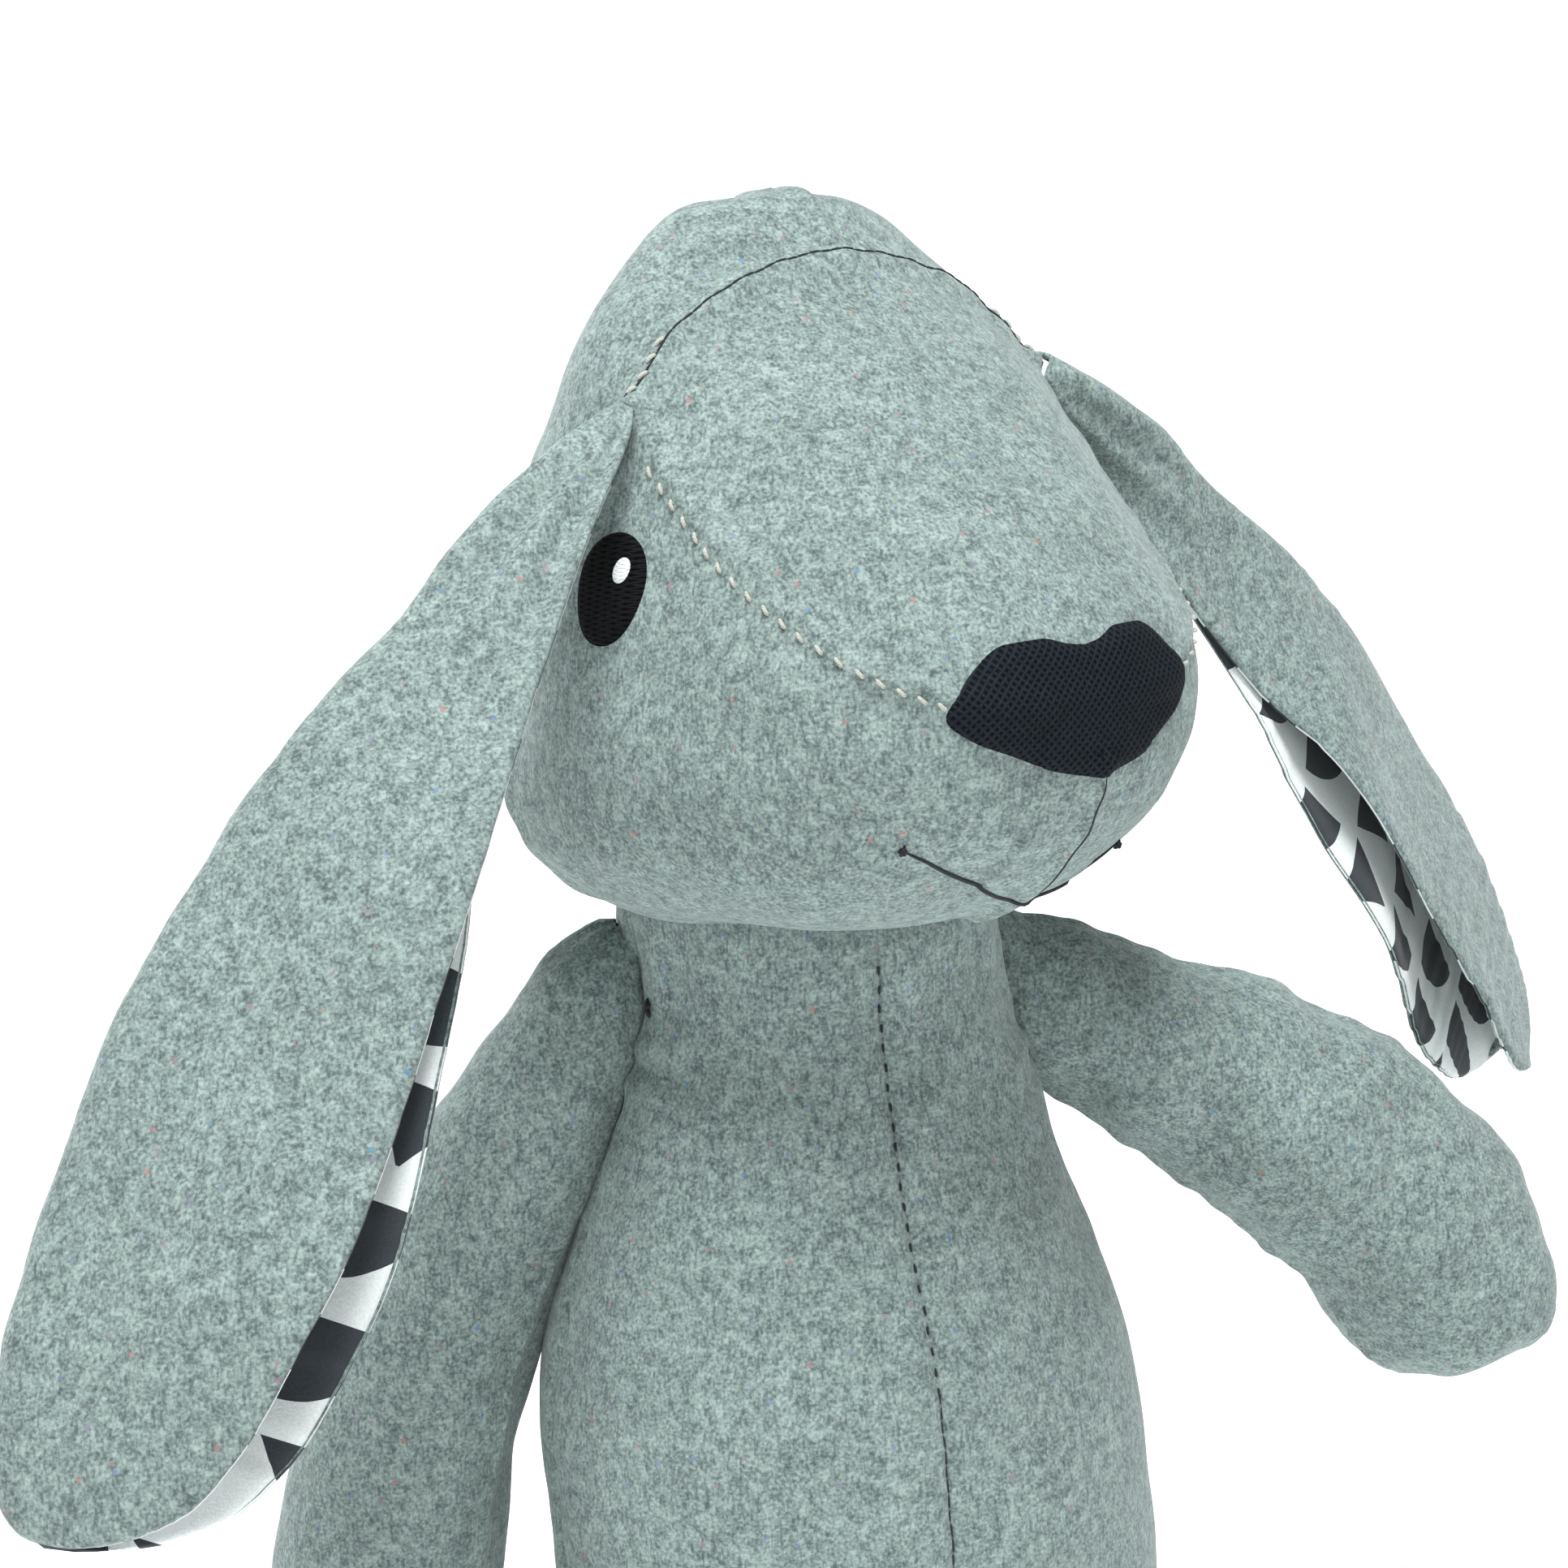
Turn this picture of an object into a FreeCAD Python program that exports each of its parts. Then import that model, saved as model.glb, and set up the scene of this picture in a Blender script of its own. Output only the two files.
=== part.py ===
import FreeCAD, Part
import Sketcher
import math
import os

from FreeCAD import Placement, Rotation, Vector

# Hand puppet in the shape of a lop-eared rabbit, sewn from grey felt.
# Units are millimetres. +Z is up, the puppet's chest faces -Y and its own left
# side is +X. The origin is the centre of the hem, where the hand goes in.

doc = FreeCAD.newDocument("HandPuppet")
sheet = doc.addObject("Spreadsheet::Sheet", "Sizes")

DRIVING_SIZES = {
    # body sleeve
    "body_half_width": 57.0,
    "body_depth_ratio": 0.84,
    "body_top_level": 150.0,
    "felt_thickness": 2.2,
    "hem_band_height": 18.0,
    "hem_band_thickness": 1.6,
    # ball of the neck and the finger pocket
    "neck_level": 165.0,
    "neck_radius": 34.0,
    "neck_gap": 0.4,
    "neck_hole_radius": 19.0,
    "pocket_radius": 13.0,
    "pocket_wall": 1.6,
    "pocket_length": 50.0,
    # head
    "head_half_width": 57.0,
    "head_front": 64.0,
    "head_back": 61.0,
    "head_level": 229.0,
    "head_forward": 15.0,
    "head_turn": 18.0,
    "ear_root_reach": 55.5,
    "patch_thickness": 1.0,
    "eye_width": 17.0,
    "eye_length": 21.0,
    "glint_width": 5.0,
    "glint_length": 6.5,
    "nose_half_width": 28.0,
    "nose_depth": 26.0,
    # ears and arms
    "ear_length": 200.0,
    "ear_width": 60.0,
    "ear_felt_thickness": 10.0,
    "ear_lining_thickness": 5.0,
    "arm_length": 132.0,
    "arm_width": 46.0,
    # threads
    "thread_radius": 0.45,
    "stitch_length": 2.4,
    "stitch_pitch": 3.8,
}

for row, (alias, value) in enumerate(DRIVING_SIZES.items(), start=1):
    sheet.set("A%d" % row, alias)
    sheet.set("B%d" % row, str(value))
    sheet.setAlias("B%d" % row, alias)
doc.recompute()

SIDES = {"left": 1, "right": -1}
UP = Vector(0, 0, 1)
EPS = 0.05


def size(alias):
    """Value of one driving size."""
    return float(sheet.get(alias))


def bind(obj, **expressions):
    """Bind properties of an object to cells of the sheet."""
    for prop, expression in expressions.items():
        obj.setExpression(prop, expression)
    return obj


def plan_direction(angle):
    """Horizontal unit vector at an angle from +X, in degrees."""
    return Vector(math.cos(math.radians(angle)), math.sin(math.radians(angle)), 0)


# ---------------------------------------------------------------- building blocks

def new_form(name, shape):
    """A stuffed or sewn form whose shape is a loft made in code."""
    form = doc.addObject("Part::Feature", name)
    form.Shape = shape
    return form


def cut(name, base, tool):
    """Base with the tool taken away."""
    result = doc.addObject("Part::Cut", name)
    result.Base = base
    result.Tool = tool
    return result


def common(name, base, tool):
    """What base and tool share."""
    result = doc.addObject("Part::Common", name)
    result.Base = base
    result.Tool = tool
    return result


def block(name, low, high):
    """A rectangular block between two corners."""
    box = doc.addObject("Part::Box", name)
    box.Length = high[0] - low[0]
    box.Width = high[1] - low[1]
    box.Height = high[2] - low[2]
    box.Placement = Placement(Vector(*low), Rotation())
    return box


def prism(name, wire_shape, direction, length):
    """A closed outline pushed along a direction, as a solid."""
    outline = new_form(name + "_outline", wire_shape)
    body = doc.addObject("Part::Extrusion", name)
    body.Base = outline
    body.DirMode = "Custom"
    body.Dir = direction
    body.LengthFwd = length
    body.Solid = True
    return body


def oval_section(centre, across, along, half_across, half_front, half_back):
    """A closed smooth oval; half_front and half_back may differ, as in an egg.

    Two semi-ellipses share the widest line and are drawn as one periodic curve.
    """
    points = []
    count = 16
    for step in range(count):
        angle = 2 * math.pi * (step + 0.5) / count
        reach = half_front if math.sin(angle) >= 0 else half_back
        points.append(centre + across * (half_across * math.cos(angle))
                      + along * (reach * math.sin(angle)))
    knots = [step / count for step in range(count + 1)]
    curve = Part.BSplineCurve()
    curve.interpolate(Points=points, PeriodicFlag=True, Parameters=knots)
    return Part.Wire([curve.toShape()])


def lofted(wires):
    """Solid loft through a list of closed wires."""
    return Part.makeLoft(wires, True, False)


def pointed_stitches(name, solid, guesses, length, radius):
    """Short round threads that lie on the surface of a solid, one per guess pair."""
    threads = []
    for start, end in guesses:
        ends = []
        for guess in (start, end):
            near = solid.distToShape(Part.Vertex(guess))[1][0][0]
            outward = guess.sub(near)
            outward.normalize()
            ends.append(near + outward * (radius + EPS))
        along = ends[1].sub(ends[0])
        along.normalize()
        threads.append(Part.makeCylinder(radius, length, ends[0], along))
    return new_form(name, Part.makeCompound(threads))


# ---------------------------------------------------------------- body sleeve

# level above the hem, and half width as a share of the hem's half width
BODY_PROFILE = [(0.0, 1.0), (40.0, 0.99), (81.0, 0.965), (100.0, 0.9), (112.0, 0.835),
                (125.0, 0.75), (136.0, 0.685), (150.0, 0.61)]


def body_half_width(level):
    """Half width of the sleeve at a level, from the profile."""
    for (low, low_share), (high, high_share) in zip(BODY_PROFILE, BODY_PROFILE[1:]):
        if low <= level <= high:
            share = low_share + (high_share - low_share) * (level - low) / (high - low)
            return size("body_half_width") * share
    return size("body_half_width") * BODY_PROFILE[-1][1]


def body_depth_ratio(level):
    """The sleeve turns from a flat oval at the hem to nearly round at the neck."""
    rise = max(0.0, level - 100.0) / 50.0
    return size("body_depth_ratio") + (0.92 - size("body_depth_ratio")) * rise


def body_form(name, inset, extra_height=0.0):
    """Solid inside of the sleeve at a given inset from its outer face."""
    wires = []
    steps = 10
    for step in range(steps + 1):
        level = size("body_top_level") * step / steps
        half = body_half_width(level)
        height = level
        if step == 0:
            height -= extra_height
        if step == steps:
            height += extra_height
        depth = half * body_depth_ratio(level) - inset
        wires.append(oval_section(Vector(0, 0, height), Vector(1, 0, 0), Vector(0, -1, 0),
                                  half - inset, depth, depth))
    return new_form(name, lofted(wires))


def build_body():
    """Four sleeve panels, the turned-in hem band and the stitches down the chest."""
    outer = body_form("BodyOuter", 0.0)
    inner = body_form("BodyInner", size("felt_thickness"), extra_height=1.0)
    sleeve = cut("BodySleeve", outer, inner)
    reach = 2 * size("body_half_width")
    nodes = []
    for side, sign in SIDES.items():
        for face, direction in (("front", -1), ("back", 1)):
            low = (min(0, sign * reach), min(0, direction * reach), -1)
            high = (max(0, sign * reach), max(0, direction * reach), reach * 2)
            quarter = block("BodyQuarter_%s_%s" % (face, side), low, high)
            nodes.append(common("body_%s_%s" % (face, side), sleeve, quarter))

    # hem band: felt turned up inside the hem
    gap = 0.2
    band_outer = body_form("BandOuter", size("felt_thickness") + gap)
    band_inner = body_form("BandInner", size("felt_thickness") + gap + size("hem_band_thickness"),
                           extra_height=1.0)
    band = cut("BandTube", band_outer, band_inner)
    slab = doc.addObject("Part::Cylinder", "BandSlab")
    bind(slab, Radius="Sizes.body_half_width", Height="Sizes.hem_band_height")
    nodes.append(common("hem_band", band, slab))

    # machine stitches beside the chest seam, from the neck down to where they close up
    guesses = []
    level = size("body_top_level") - 3.0
    while level > 96.0:
        pair = []
        for height in (level, level - size("stitch_length")):
            depth = body_half_width(height) * body_depth_ratio(height)
            pair.append(Vector(0.9, -depth - 2.0, height))
        guesses.append(pair)
        level -= size("stitch_pitch")
    nodes.append(pointed_stitches("chest_stitches", outer.Shape, guesses,
                                  size("stitch_length"), size("thread_radius")))
    return nodes


# ---------------------------------------------------------------- neck

def build_neck():
    """The ball-shaped neck band that the head turns and nods on."""
    ball = doc.addObject("Part::Sphere", "NeckBall")
    bind(ball, Radius="Sizes.neck_radius")
    hollow = doc.addObject("Part::Sphere", "NeckHollow")
    bind(hollow, Radius="Sizes.neck_radius - Sizes.felt_thickness")
    for sphere in (ball, hollow):
        sphere.Placement = Placement(Vector(0, 0, size("neck_level")), Rotation())
    shell = cut("NeckShell", ball, hollow)
    reach = size("neck_radius") + 2
    slab = block("NeckSlab", (-reach, -reach, size("body_top_level") + size("neck_gap")),
                 (reach, reach, size("neck_level") + reach))
    band = common("NeckBandFull", shell, slab)
    hole = doc.addObject("Part::Cylinder", "NeckHole")
    bind(hole, Radius="Sizes.neck_hole_radius", Height="Sizes.neck_radius + 10")
    hole.Placement = Placement(Vector(0, 0, size("neck_level")), Rotation())
    return [cut("neck_band", band, hole)]


# ---------------------------------------------------------------- head

# level from the head's centre, then back, front and half width as shares of the
# head's own back, front and half-width sizes (forward is -Y before the head is turned)
HEAD_PROFILE = [(-62.0, 0.36, 0.52, 0.32), (-59.0, 0.54, 0.67, 0.535), (-52.0, 0.76, 0.845, 0.76),
                (-42.0, 0.92, 0.96, 0.93), (-30.0, 1.0, 1.0, 1.0), (-15.0, 1.0, 0.99, 1.0),
                (3.0, 0.95, 0.82, 0.965), (20.0, 0.84, 0.585, 0.92), (34.0, 0.70, 0.39, 0.84),
                (46.0, 0.52, 0.22, 0.71), (55.0, 0.38, 0.11, 0.54), (60.5, 0.29, 0.045, 0.38),
                (64.0, 0.20, -0.02, 0.20)]

# side view corners of the seams, forward and up from the head's centre
EAR_ROOT = (5.0, 31.0)
NOSE_CORNER = (59.0, -21.0)
NAPE_CORNER = (-26.0, -40.0)


def head_pose():
    """Where the head sits: turned to the puppet's left and a little forward of the neck."""
    turn = Rotation(UP, size("head_turn"))
    centre = turn.multVec(Vector(0, -size("head_forward"), 0)) + Vector(0, 0, size("head_level"))
    return Placement(centre, turn)


def head_form(name, grow):
    """The head's egg, grown or shrunk by a distance all round."""
    wires = []
    top = HEAD_PROFILE[-1][0]
    for level, back, front, width in HEAD_PROFILE:
        back_edge = size("head_back") * back
        front_edge = size("head_front") * front
        half_depth = (back_edge + front_edge) / 2 + grow
        middle = (front_edge - back_edge) / 2
        stretch = 1 + grow / top
        wires.append(oval_section(Vector(0, -middle, level * stretch),
                                  Vector(1, 0, 0), Vector(0, -1, 0),
                                  max(size("head_half_width") * width + grow, 1.5),
                                  max(half_depth, 1.5), max(half_depth, 1.5)))
    return new_form(name, lofted(wires))


def side_prism(name, corners):
    """A prism right through the head from a side-view outline of (forward, up) corners."""
    reach = 90.0
    points = [Vector(-reach, -forward, up) for forward, up in corners]
    wire = Part.makePolygon(points + points[:1])
    return prism(name, wire, Vector(1, 0, 0), 2 * reach)


def half_block(name, sign):
    """Everything on one side of the head's middle plane."""
    reach = 100.0
    return block(name, (min(0, sign * reach), -reach, -reach), (max(0, sign * reach), reach, reach))


def oval_wire(centre, across, along, width, length):
    """A closed oval outline."""
    return oval_section(centre, across, along, width / 2, length / 2, length / 2)


def nose_wire(forward):
    """Broad rounded nose outline with a slight dip in its top edge."""
    half = size("nose_half_width")
    top = -9.5
    drop = size("nose_depth")
    points = [(0.0, top - 2.0), (0.42 * half, top), (0.8 * half, top - 4.5), (half, top - 12.0),
              (0.72 * half, top - 18.5), (0.35 * half, top - 23.5), (0.0, top - drop)]
    mirrored = [(-x, z) for x, z in points[-2:0:-1]]
    curve = Part.BSplineCurve()
    curve.interpolate([Vector(x, -forward, z) for x, z in points + mirrored], PeriodicFlag=True)
    return Part.Wire([curve.toShape()])


def seam_guesses(sign):
    """Stitch ends along the seam from below the ear root to the nose corner."""
    route = [Vector(sign * 51, -27, 6), Vector(sign * 46, -46, -11), Vector(sign * 38, -56, -18),
             Vector(sign * 31, -62, -21)]
    guesses = []
    for start, end in zip(route, route[1:]):
        span = end.sub(start)
        count = int(span.Length / size("stitch_pitch"))
        for index in range(count):
            first = start + span * (index / count)
            second = start + span * ((index + size("stitch_length") / size("stitch_pitch")) / count)
            guesses.append((first, second))
    return guesses


def build_head():
    """Face panels, back panels, stuffing, finger pocket, nose, eyes, mouth and stitches."""
    pose = head_pose()
    felt = size("felt_thickness")
    patch = size("patch_thickness")
    pivot = pose.inverse().multVec(Vector(0, 0, size("neck_level")))

    outer = head_form("HeadOuter", 0.0)
    inner = head_form("HeadInner", -felt)
    socket = doc.addObject("Part::Sphere", "HeadSocket")
    bind(socket, Radius="Sizes.neck_radius + Sizes.neck_gap")
    socket.Placement = Placement(pivot, Rotation())
    shell = cut("HeadShellFull", outer, inner)
    skin = cut("HeadSkin", shell, socket)

    far = 120.0
    forehead_tool = side_prism("ForeheadTool", [(EAR_ROOT[0], far), EAR_ROOT, NOSE_CORNER,
                                                (far, NOSE_CORNER[1]), (far, far)])
    cheek_tool = side_prism("CheekTool", [EAR_ROOT, NOSE_CORNER, (far, NOSE_CORNER[1]),
                                          (far, -far), (NAPE_CORNER[0], -far), NAPE_CORNER])
    back_tool = side_prism("BackTool", [(EAR_ROOT[0], far), EAR_ROOT, NAPE_CORNER,
                                        (NAPE_CORNER[0], -far), (-far, -far), (-far, far)])
    nodes = [common("forehead", skin, forehead_tool)]
    cheeks = common("CheekPair", skin, cheek_tool)
    backs = common("BackPair", skin, back_tool)
    for side, sign in SIDES.items():
        half = half_block("HeadHalf_" + side, sign)
        nodes.append(common("cheek_" + side, cheeks, half))
        nodes.append(common("head_back_" + side, backs, half))

    # stuffing with a bore for the finger pocket
    filling = head_form("HeadFilling", -felt - 2 * EPS)
    filling_cut = cut("HeadFillingCut", filling, socket)
    bore = doc.addObject("Part::Cylinder", "PocketBore")
    bind(bore, Radius="Sizes.pocket_radius + 0.1", Height="Sizes.neck_radius + Sizes.pocket_length + 0.1")
    bore.Placement = Placement(pivot, Rotation())
    nodes.append(cut("head_stuffing", filling_cut, bore))
    nodes.append(build_pocket(pivot))

    # nose patch, eyes and the light spots sewn on them
    over_low = head_form("PatchInner", EPS)
    over_high = head_form("PatchOuter", EPS + patch)
    patch_shell = cut("PatchShell", over_high, over_low)
    glint_high = head_form("GlintOuter", 2 * EPS + 1.5 * patch)
    glint_low = head_form("GlintInner", 2 * EPS + patch)
    glint_shell = cut("GlintShell", glint_high, glint_low)

    nose_tool = prism("NoseTool", nose_wire(30.0), Vector(0, -1, 0), 60.0)
    nodes.append(common("nose", patch_shell, nose_tool))
    for side, sign in SIDES.items():
        start = Vector(sign * 30, -7.0, 1.5)
        eye_tool = prism("EyeTool_" + side,
                         oval_wire(start, Vector(0, -1, 0), UP, size("eye_width"), size("eye_length")),
                         Vector(sign, 0, 0), 40.0)
        nodes.append(common("eye_" + side, patch_shell, eye_tool))
        spot = start + Vector(0, -2.5, 3.5)
        glint_tool = prism("GlintTool_" + side,
                           oval_wire(spot, Vector(0, -1, 0), UP, size("glint_width"),
                                     size("glint_length")),
                           Vector(sign, 0, 0), 40.0)
        nodes.append(common("eye_glint_" + side, glint_shell, glint_tool))

    # smile: one thread that runs under the muzzle from cheek to cheek
    smile_radius = 47.0
    smile_level = -59.0
    centre = Vector(0, -25.0, smile_level + smile_radius)
    rings = []
    for name, radius in (("SmileOuter", smile_radius + 0.6), ("SmileInner", smile_radius - 0.6)):
        ring = doc.addObject("Part::Cylinder", name)
        ring.Radius = radius
        ring.Height = 60.0
        ring.Placement = Placement(centre, Rotation(Vector(1, 0, 0), 90))
        rings.append(ring)
    smile_ring = cut("SmileRing", rings[0], rings[1])
    smile_box = block("SmileBox", (-60, -95, -90), (60, -30, smile_level + 12.0))
    smile_band = common("SmileBand", smile_ring, smile_box)
    nodes.append(common("smile_thread", patch_shell, smile_band))

    for side, sign in SIDES.items():
        nodes.append(pointed_stitches("face_stitches_" + side, outer.Shape, seam_guesses(sign),
                                      size("stitch_length"), size("thread_radius")))
    for node in nodes:
        node.Placement = pose
    return nodes


def build_pocket(pivot):
    """Finger pocket: a blind felt tube let into the stuffing, open towards the hand."""
    body = doc.addObject("PartDesign::Body", "FingerPocket")
    origin = {item.Role: item for item in body.Origin.OriginFeatures}
    mouth = size("neck_radius") + size("neck_gap")
    profile = body.newObject("Sketcher::SketchObject", "PocketProfile")
    profile.AttachmentSupport = [(origin["XY_Plane"], "")]
    profile.MapMode = "FlatFace"
    profile.AttachmentOffset = Placement(pivot + UP * mouth, Rotation())
    profile.addGeometry(Part.Circle(Vector(0, 0, 0), UP, size("pocket_radius")), False)
    profile.addConstraint(Sketcher.Constraint("Coincident", 0, 3, -1, 1))
    profile.addConstraint(Sketcher.Constraint("Radius", 0, size("pocket_radius")))
    profile.setExpression("Constraints[1]", "Sizes.pocket_radius")
    doc.recompute()
    tube = body.newObject("PartDesign::Pad", "PocketTube")
    tube.Profile = profile
    bind(tube, Length="Sizes.pocket_length - Sizes.neck_gap")
    doc.recompute()
    solid_volume = body.Shape.Volume
    hollow_sketch = body.newObject("Sketcher::SketchObject", "PocketHollow")
    hollow_sketch.AttachmentSupport = [(origin["XY_Plane"], "")]
    hollow_sketch.MapMode = "FlatFace"
    hollow_sketch.AttachmentOffset = Placement(pivot + UP * mouth, Rotation())
    hollow_radius = size("pocket_radius") - size("pocket_wall")
    hollow_sketch.addGeometry(Part.Circle(Vector(0, 0, 0), UP, hollow_radius), False)
    hollow_sketch.addConstraint(Sketcher.Constraint("Coincident", 0, 3, -1, 1))
    hollow_sketch.addConstraint(Sketcher.Constraint("Radius", 0, hollow_radius))
    hollow_sketch.setExpression("Constraints[1]", "Sizes.pocket_radius - Sizes.pocket_wall")
    doc.recompute()
    hollow = body.newObject("PartDesign::Pocket", "PocketBlindHole")
    hollow.Profile = hollow_sketch
    hollow.Reversed = True
    bind(hollow, Length="Sizes.pocket_length - Sizes.neck_gap - Sizes.pocket_wall")
    doc.recompute()
    if body.Shape.Volume > 0.6 * solid_volume:
        raise RuntimeError("the finger pocket was not hollowed")
    body.Label = "finger_pocket"
    return body


# ---------------------------------------------------------------- ears and arms

def limb_path(root, azimuth, leans, length):
    """Points and directions of a hanging limb.

    Each lean is the angle from straight down of one equal stretch of the limb, out
    along the plan direction azimuth.
    """
    out = plan_direction(azimuth)
    stretch = length / len(leans)
    points = [root]
    for lean in leans:
        step = out * math.sin(math.radians(lean)) - UP * math.cos(math.radians(lean))
        points.append(points[-1] + step * stretch)
    directions = []
    for index in range(len(points)):
        before = points[max(index - 1, 0)]
        after = points[min(index + 1, len(points) - 1)]
        tangent = after.sub(before)
        tangent.normalize()
        directions.append(tangent)
    return points, directions


def limb_form(name, path, azimuth, twists, widths, thicknesses, offset_share):
    """Loft of ovals along a limb; offset_share moves each oval out from the middle line."""
    points, directions = path
    out = plan_direction(azimuth)
    wires = []
    for point, tangent, twist, width, thick in zip(points, directions, twists, widths, thicknesses):
        side = UP.cross(out)
        side.normalize()
        turn = Rotation(tangent, twist)
        across = turn.multVec(side)
        outward = across.cross(tangent)
        outward.normalize()
        if outward.dot(turn.multVec(out)) < 0:
            outward = outward * -1
        centre = point + outward * (offset_share * thick)
        wires.append(oval_section(centre, across, outward, width / 2, thick / 2, thick / 2))
    return new_form(name, lofted(wires))


EARS = {
    # plan direction, leans from straight down, twist of the blade about its own length
    "right": {"azimuth": 198.0, "leans": [52, 47, 41, 35, 30, 26, 22, 19], "twist": -40.0},
    "left": {"azimuth": 20.0, "leans": [54, 50, 45, 40, 36, 32, 29, 26], "twist": 50.0},
}
EAR_WIDTHS = [0.42, 0.52, 0.68, 0.84, 0.95, 1.0, 0.95, 0.72, 0.2]
EAR_FULLNESS = [0.5, 0.75, 0.9, 1.0, 1.0, 0.95, 0.85, 0.7, 0.5]


def build_ears():
    """Felt outer and printed cotton lining of each ear."""
    pose = head_pose()
    nodes = []
    for side, sign in SIDES.items():
        ear = EARS[side]
        root = pose.multVec(Vector(sign * size("ear_root_reach"), -EAR_ROOT[0], EAR_ROOT[1] - 1.0))
        path = limb_path(root, ear["azimuth"], ear["leans"], size("ear_length"))
        twists = [ear["twist"]] * len(EAR_WIDTHS)
        for layer, thickness, direction in (("felt", size("ear_felt_thickness"), 0.5),
                                            ("lining", size("ear_lining_thickness"), -0.52)):
            trim = 1.0 if layer == "felt" else 0.93
            widths = [share * size("ear_width") * trim for share in EAR_WIDTHS]
            thicknesses = [thickness * share for share in EAR_FULLNESS]
            nodes.append(limb_form("ear_%s_%s" % (layer, side), path, ear["azimuth"], twists,
                                   widths, thicknesses, direction))
    return nodes


ARMS = {
    "left": {"azimuth": 0.0, "root": (46.0, 0.0, 143.0), "leans": [84, 68, 58, 46, 28, 8],
             "widths": [0.50, 0.72, 0.84, 0.92, 1.0, 0.94, 0.30]},
    "right": {"azimuth": 150.0, "root": (-43.0, 7.5, 149.0), "leans": [42, 34, 30, 26, 22, 20],
              "widths": [0.34, 0.60, 0.76, 0.86, 0.92, 0.86, 0.30]},
}
# thickness as a share of width: flat where the arm is sewn on, nearly round at the paw
ARM_ROUNDNESS = [0.4, 0.8, 0.9, 0.92, 0.92, 0.9, 0.9]


def build_arms():
    """Front and back felt of each arm, and the stuffing between them."""
    felt = size("felt_thickness")
    nodes = []
    for side in SIDES:
        arm = ARMS[side]
        root = Vector(*arm["root"])
        path = limb_path(root, arm["azimuth"], arm["leans"], size("arm_length"))
        out = plan_direction(arm["azimuth"])

        def form(name, grow):
            widths = [max(size("arm_width") * share + 2 * grow, 4.0) for share in arm["widths"]]
            thicks = [max(size("arm_width") * share * thick + 2 * grow, 3.0)
                      for share, thick in zip(arm["widths"], ARM_ROUNDNESS)]
            return limb_form(name, path, arm["azimuth"], [0] * len(widths), thicks, widths, 0.0)

        outer = form("ArmOuter_" + side, 0.0)
        inner = form("ArmInner_" + side, -felt)
        sleeve = cut("ArmSleeve_" + side, outer, inner)
        nodes.append(form("arm_stuffing_" + side, -felt - EPS))
        across = UP.cross(out)
        for face, direction in (("front", -1), ("back", 1)):
            # the front half of the right arm lies on the chest side of its own middle plane
            reach = 200.0
            face_sign = direction if across.y > 0 else -direction
            half = doc.addObject("Part::Box", "ArmHalf_%s_%s" % (face, side))
            half.Length = 2 * reach
            half.Width = reach
            half.Height = 2 * reach
            turn = Rotation(UP, arm["azimuth"])
            shift = Vector(-reach, 0 if face_sign > 0 else -reach, -reach)
            half.Placement = Placement(root + turn.multVec(shift), turn)
            nodes.append(common("arm_%s_%s" % (face, side), sleeve, half))
    return nodes


# ---------------------------------------------------------------- make and write

nodes = build_body() + build_neck() + build_head() + build_ears() + build_arms()
doc.recompute()

failed = [item.Name for item in doc.Objects if "Invalid" in item.State or "Error" in item.State]
if failed:
    raise RuntimeError("failed objects: %s" % failed)

os.makedirs("parts", exist_ok=True)
for node in nodes:
    label = node.Label
    shape = node.Shape
    if shape.isNull() or not shape.isValid() or not shape.Solids:
        raise RuntimeError("bad shape: %s" % label)
    shape.exportStep("parts/%s.step" % label)
    box = shape.BoundBox
    print("%-22s %2d solid(s) %9.0f mm3  x %6.1f %6.1f  y %6.1f %6.1f  z %6.1f %6.1f" % (
        label, len(shape.Solids), shape.Volume, box.XMin, box.XMax, box.YMin, box.YMax,
        box.ZMin, box.ZMax))
print(len(nodes), "nodes")
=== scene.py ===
"""Looks of the long-eared felt hand puppet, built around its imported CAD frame."""

import logging
import math
from dataclasses import dataclass, field
from enum import Enum
from typing import Any, Callable, Sequence

import bmesh
import bpy
import numpy as np
from mathutils import Matrix, Vector
from mathutils.bvhtree import BVHTree


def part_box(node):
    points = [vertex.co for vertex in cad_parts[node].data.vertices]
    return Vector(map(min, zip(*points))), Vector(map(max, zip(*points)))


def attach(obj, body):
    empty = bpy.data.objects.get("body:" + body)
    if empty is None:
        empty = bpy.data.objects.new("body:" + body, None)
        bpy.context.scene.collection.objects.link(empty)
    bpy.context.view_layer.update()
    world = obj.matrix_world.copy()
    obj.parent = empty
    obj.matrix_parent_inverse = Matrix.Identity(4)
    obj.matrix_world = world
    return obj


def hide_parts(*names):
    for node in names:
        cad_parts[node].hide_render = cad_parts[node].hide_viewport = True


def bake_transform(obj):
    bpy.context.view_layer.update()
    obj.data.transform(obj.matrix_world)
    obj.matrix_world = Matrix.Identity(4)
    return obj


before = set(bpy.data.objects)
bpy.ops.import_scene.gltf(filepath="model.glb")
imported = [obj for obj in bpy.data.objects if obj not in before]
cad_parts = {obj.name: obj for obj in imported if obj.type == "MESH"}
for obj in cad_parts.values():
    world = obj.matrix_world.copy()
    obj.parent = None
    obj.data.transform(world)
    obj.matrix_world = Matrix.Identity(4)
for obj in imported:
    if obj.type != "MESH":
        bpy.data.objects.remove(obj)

LOG = logging.getLogger("puppet")
Array = np.ndarray
Triple = tuple[float, float, float]
Colour = Triple
Pair = tuple[float, float]
Row = tuple[float, ...]
Piece = bpy.types.Object
Socket = bpy.types.NodeSocket
MM = 0.001
TURN = 2 * math.pi
UP = np.array((0.0, 0.0, 1.0))


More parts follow.
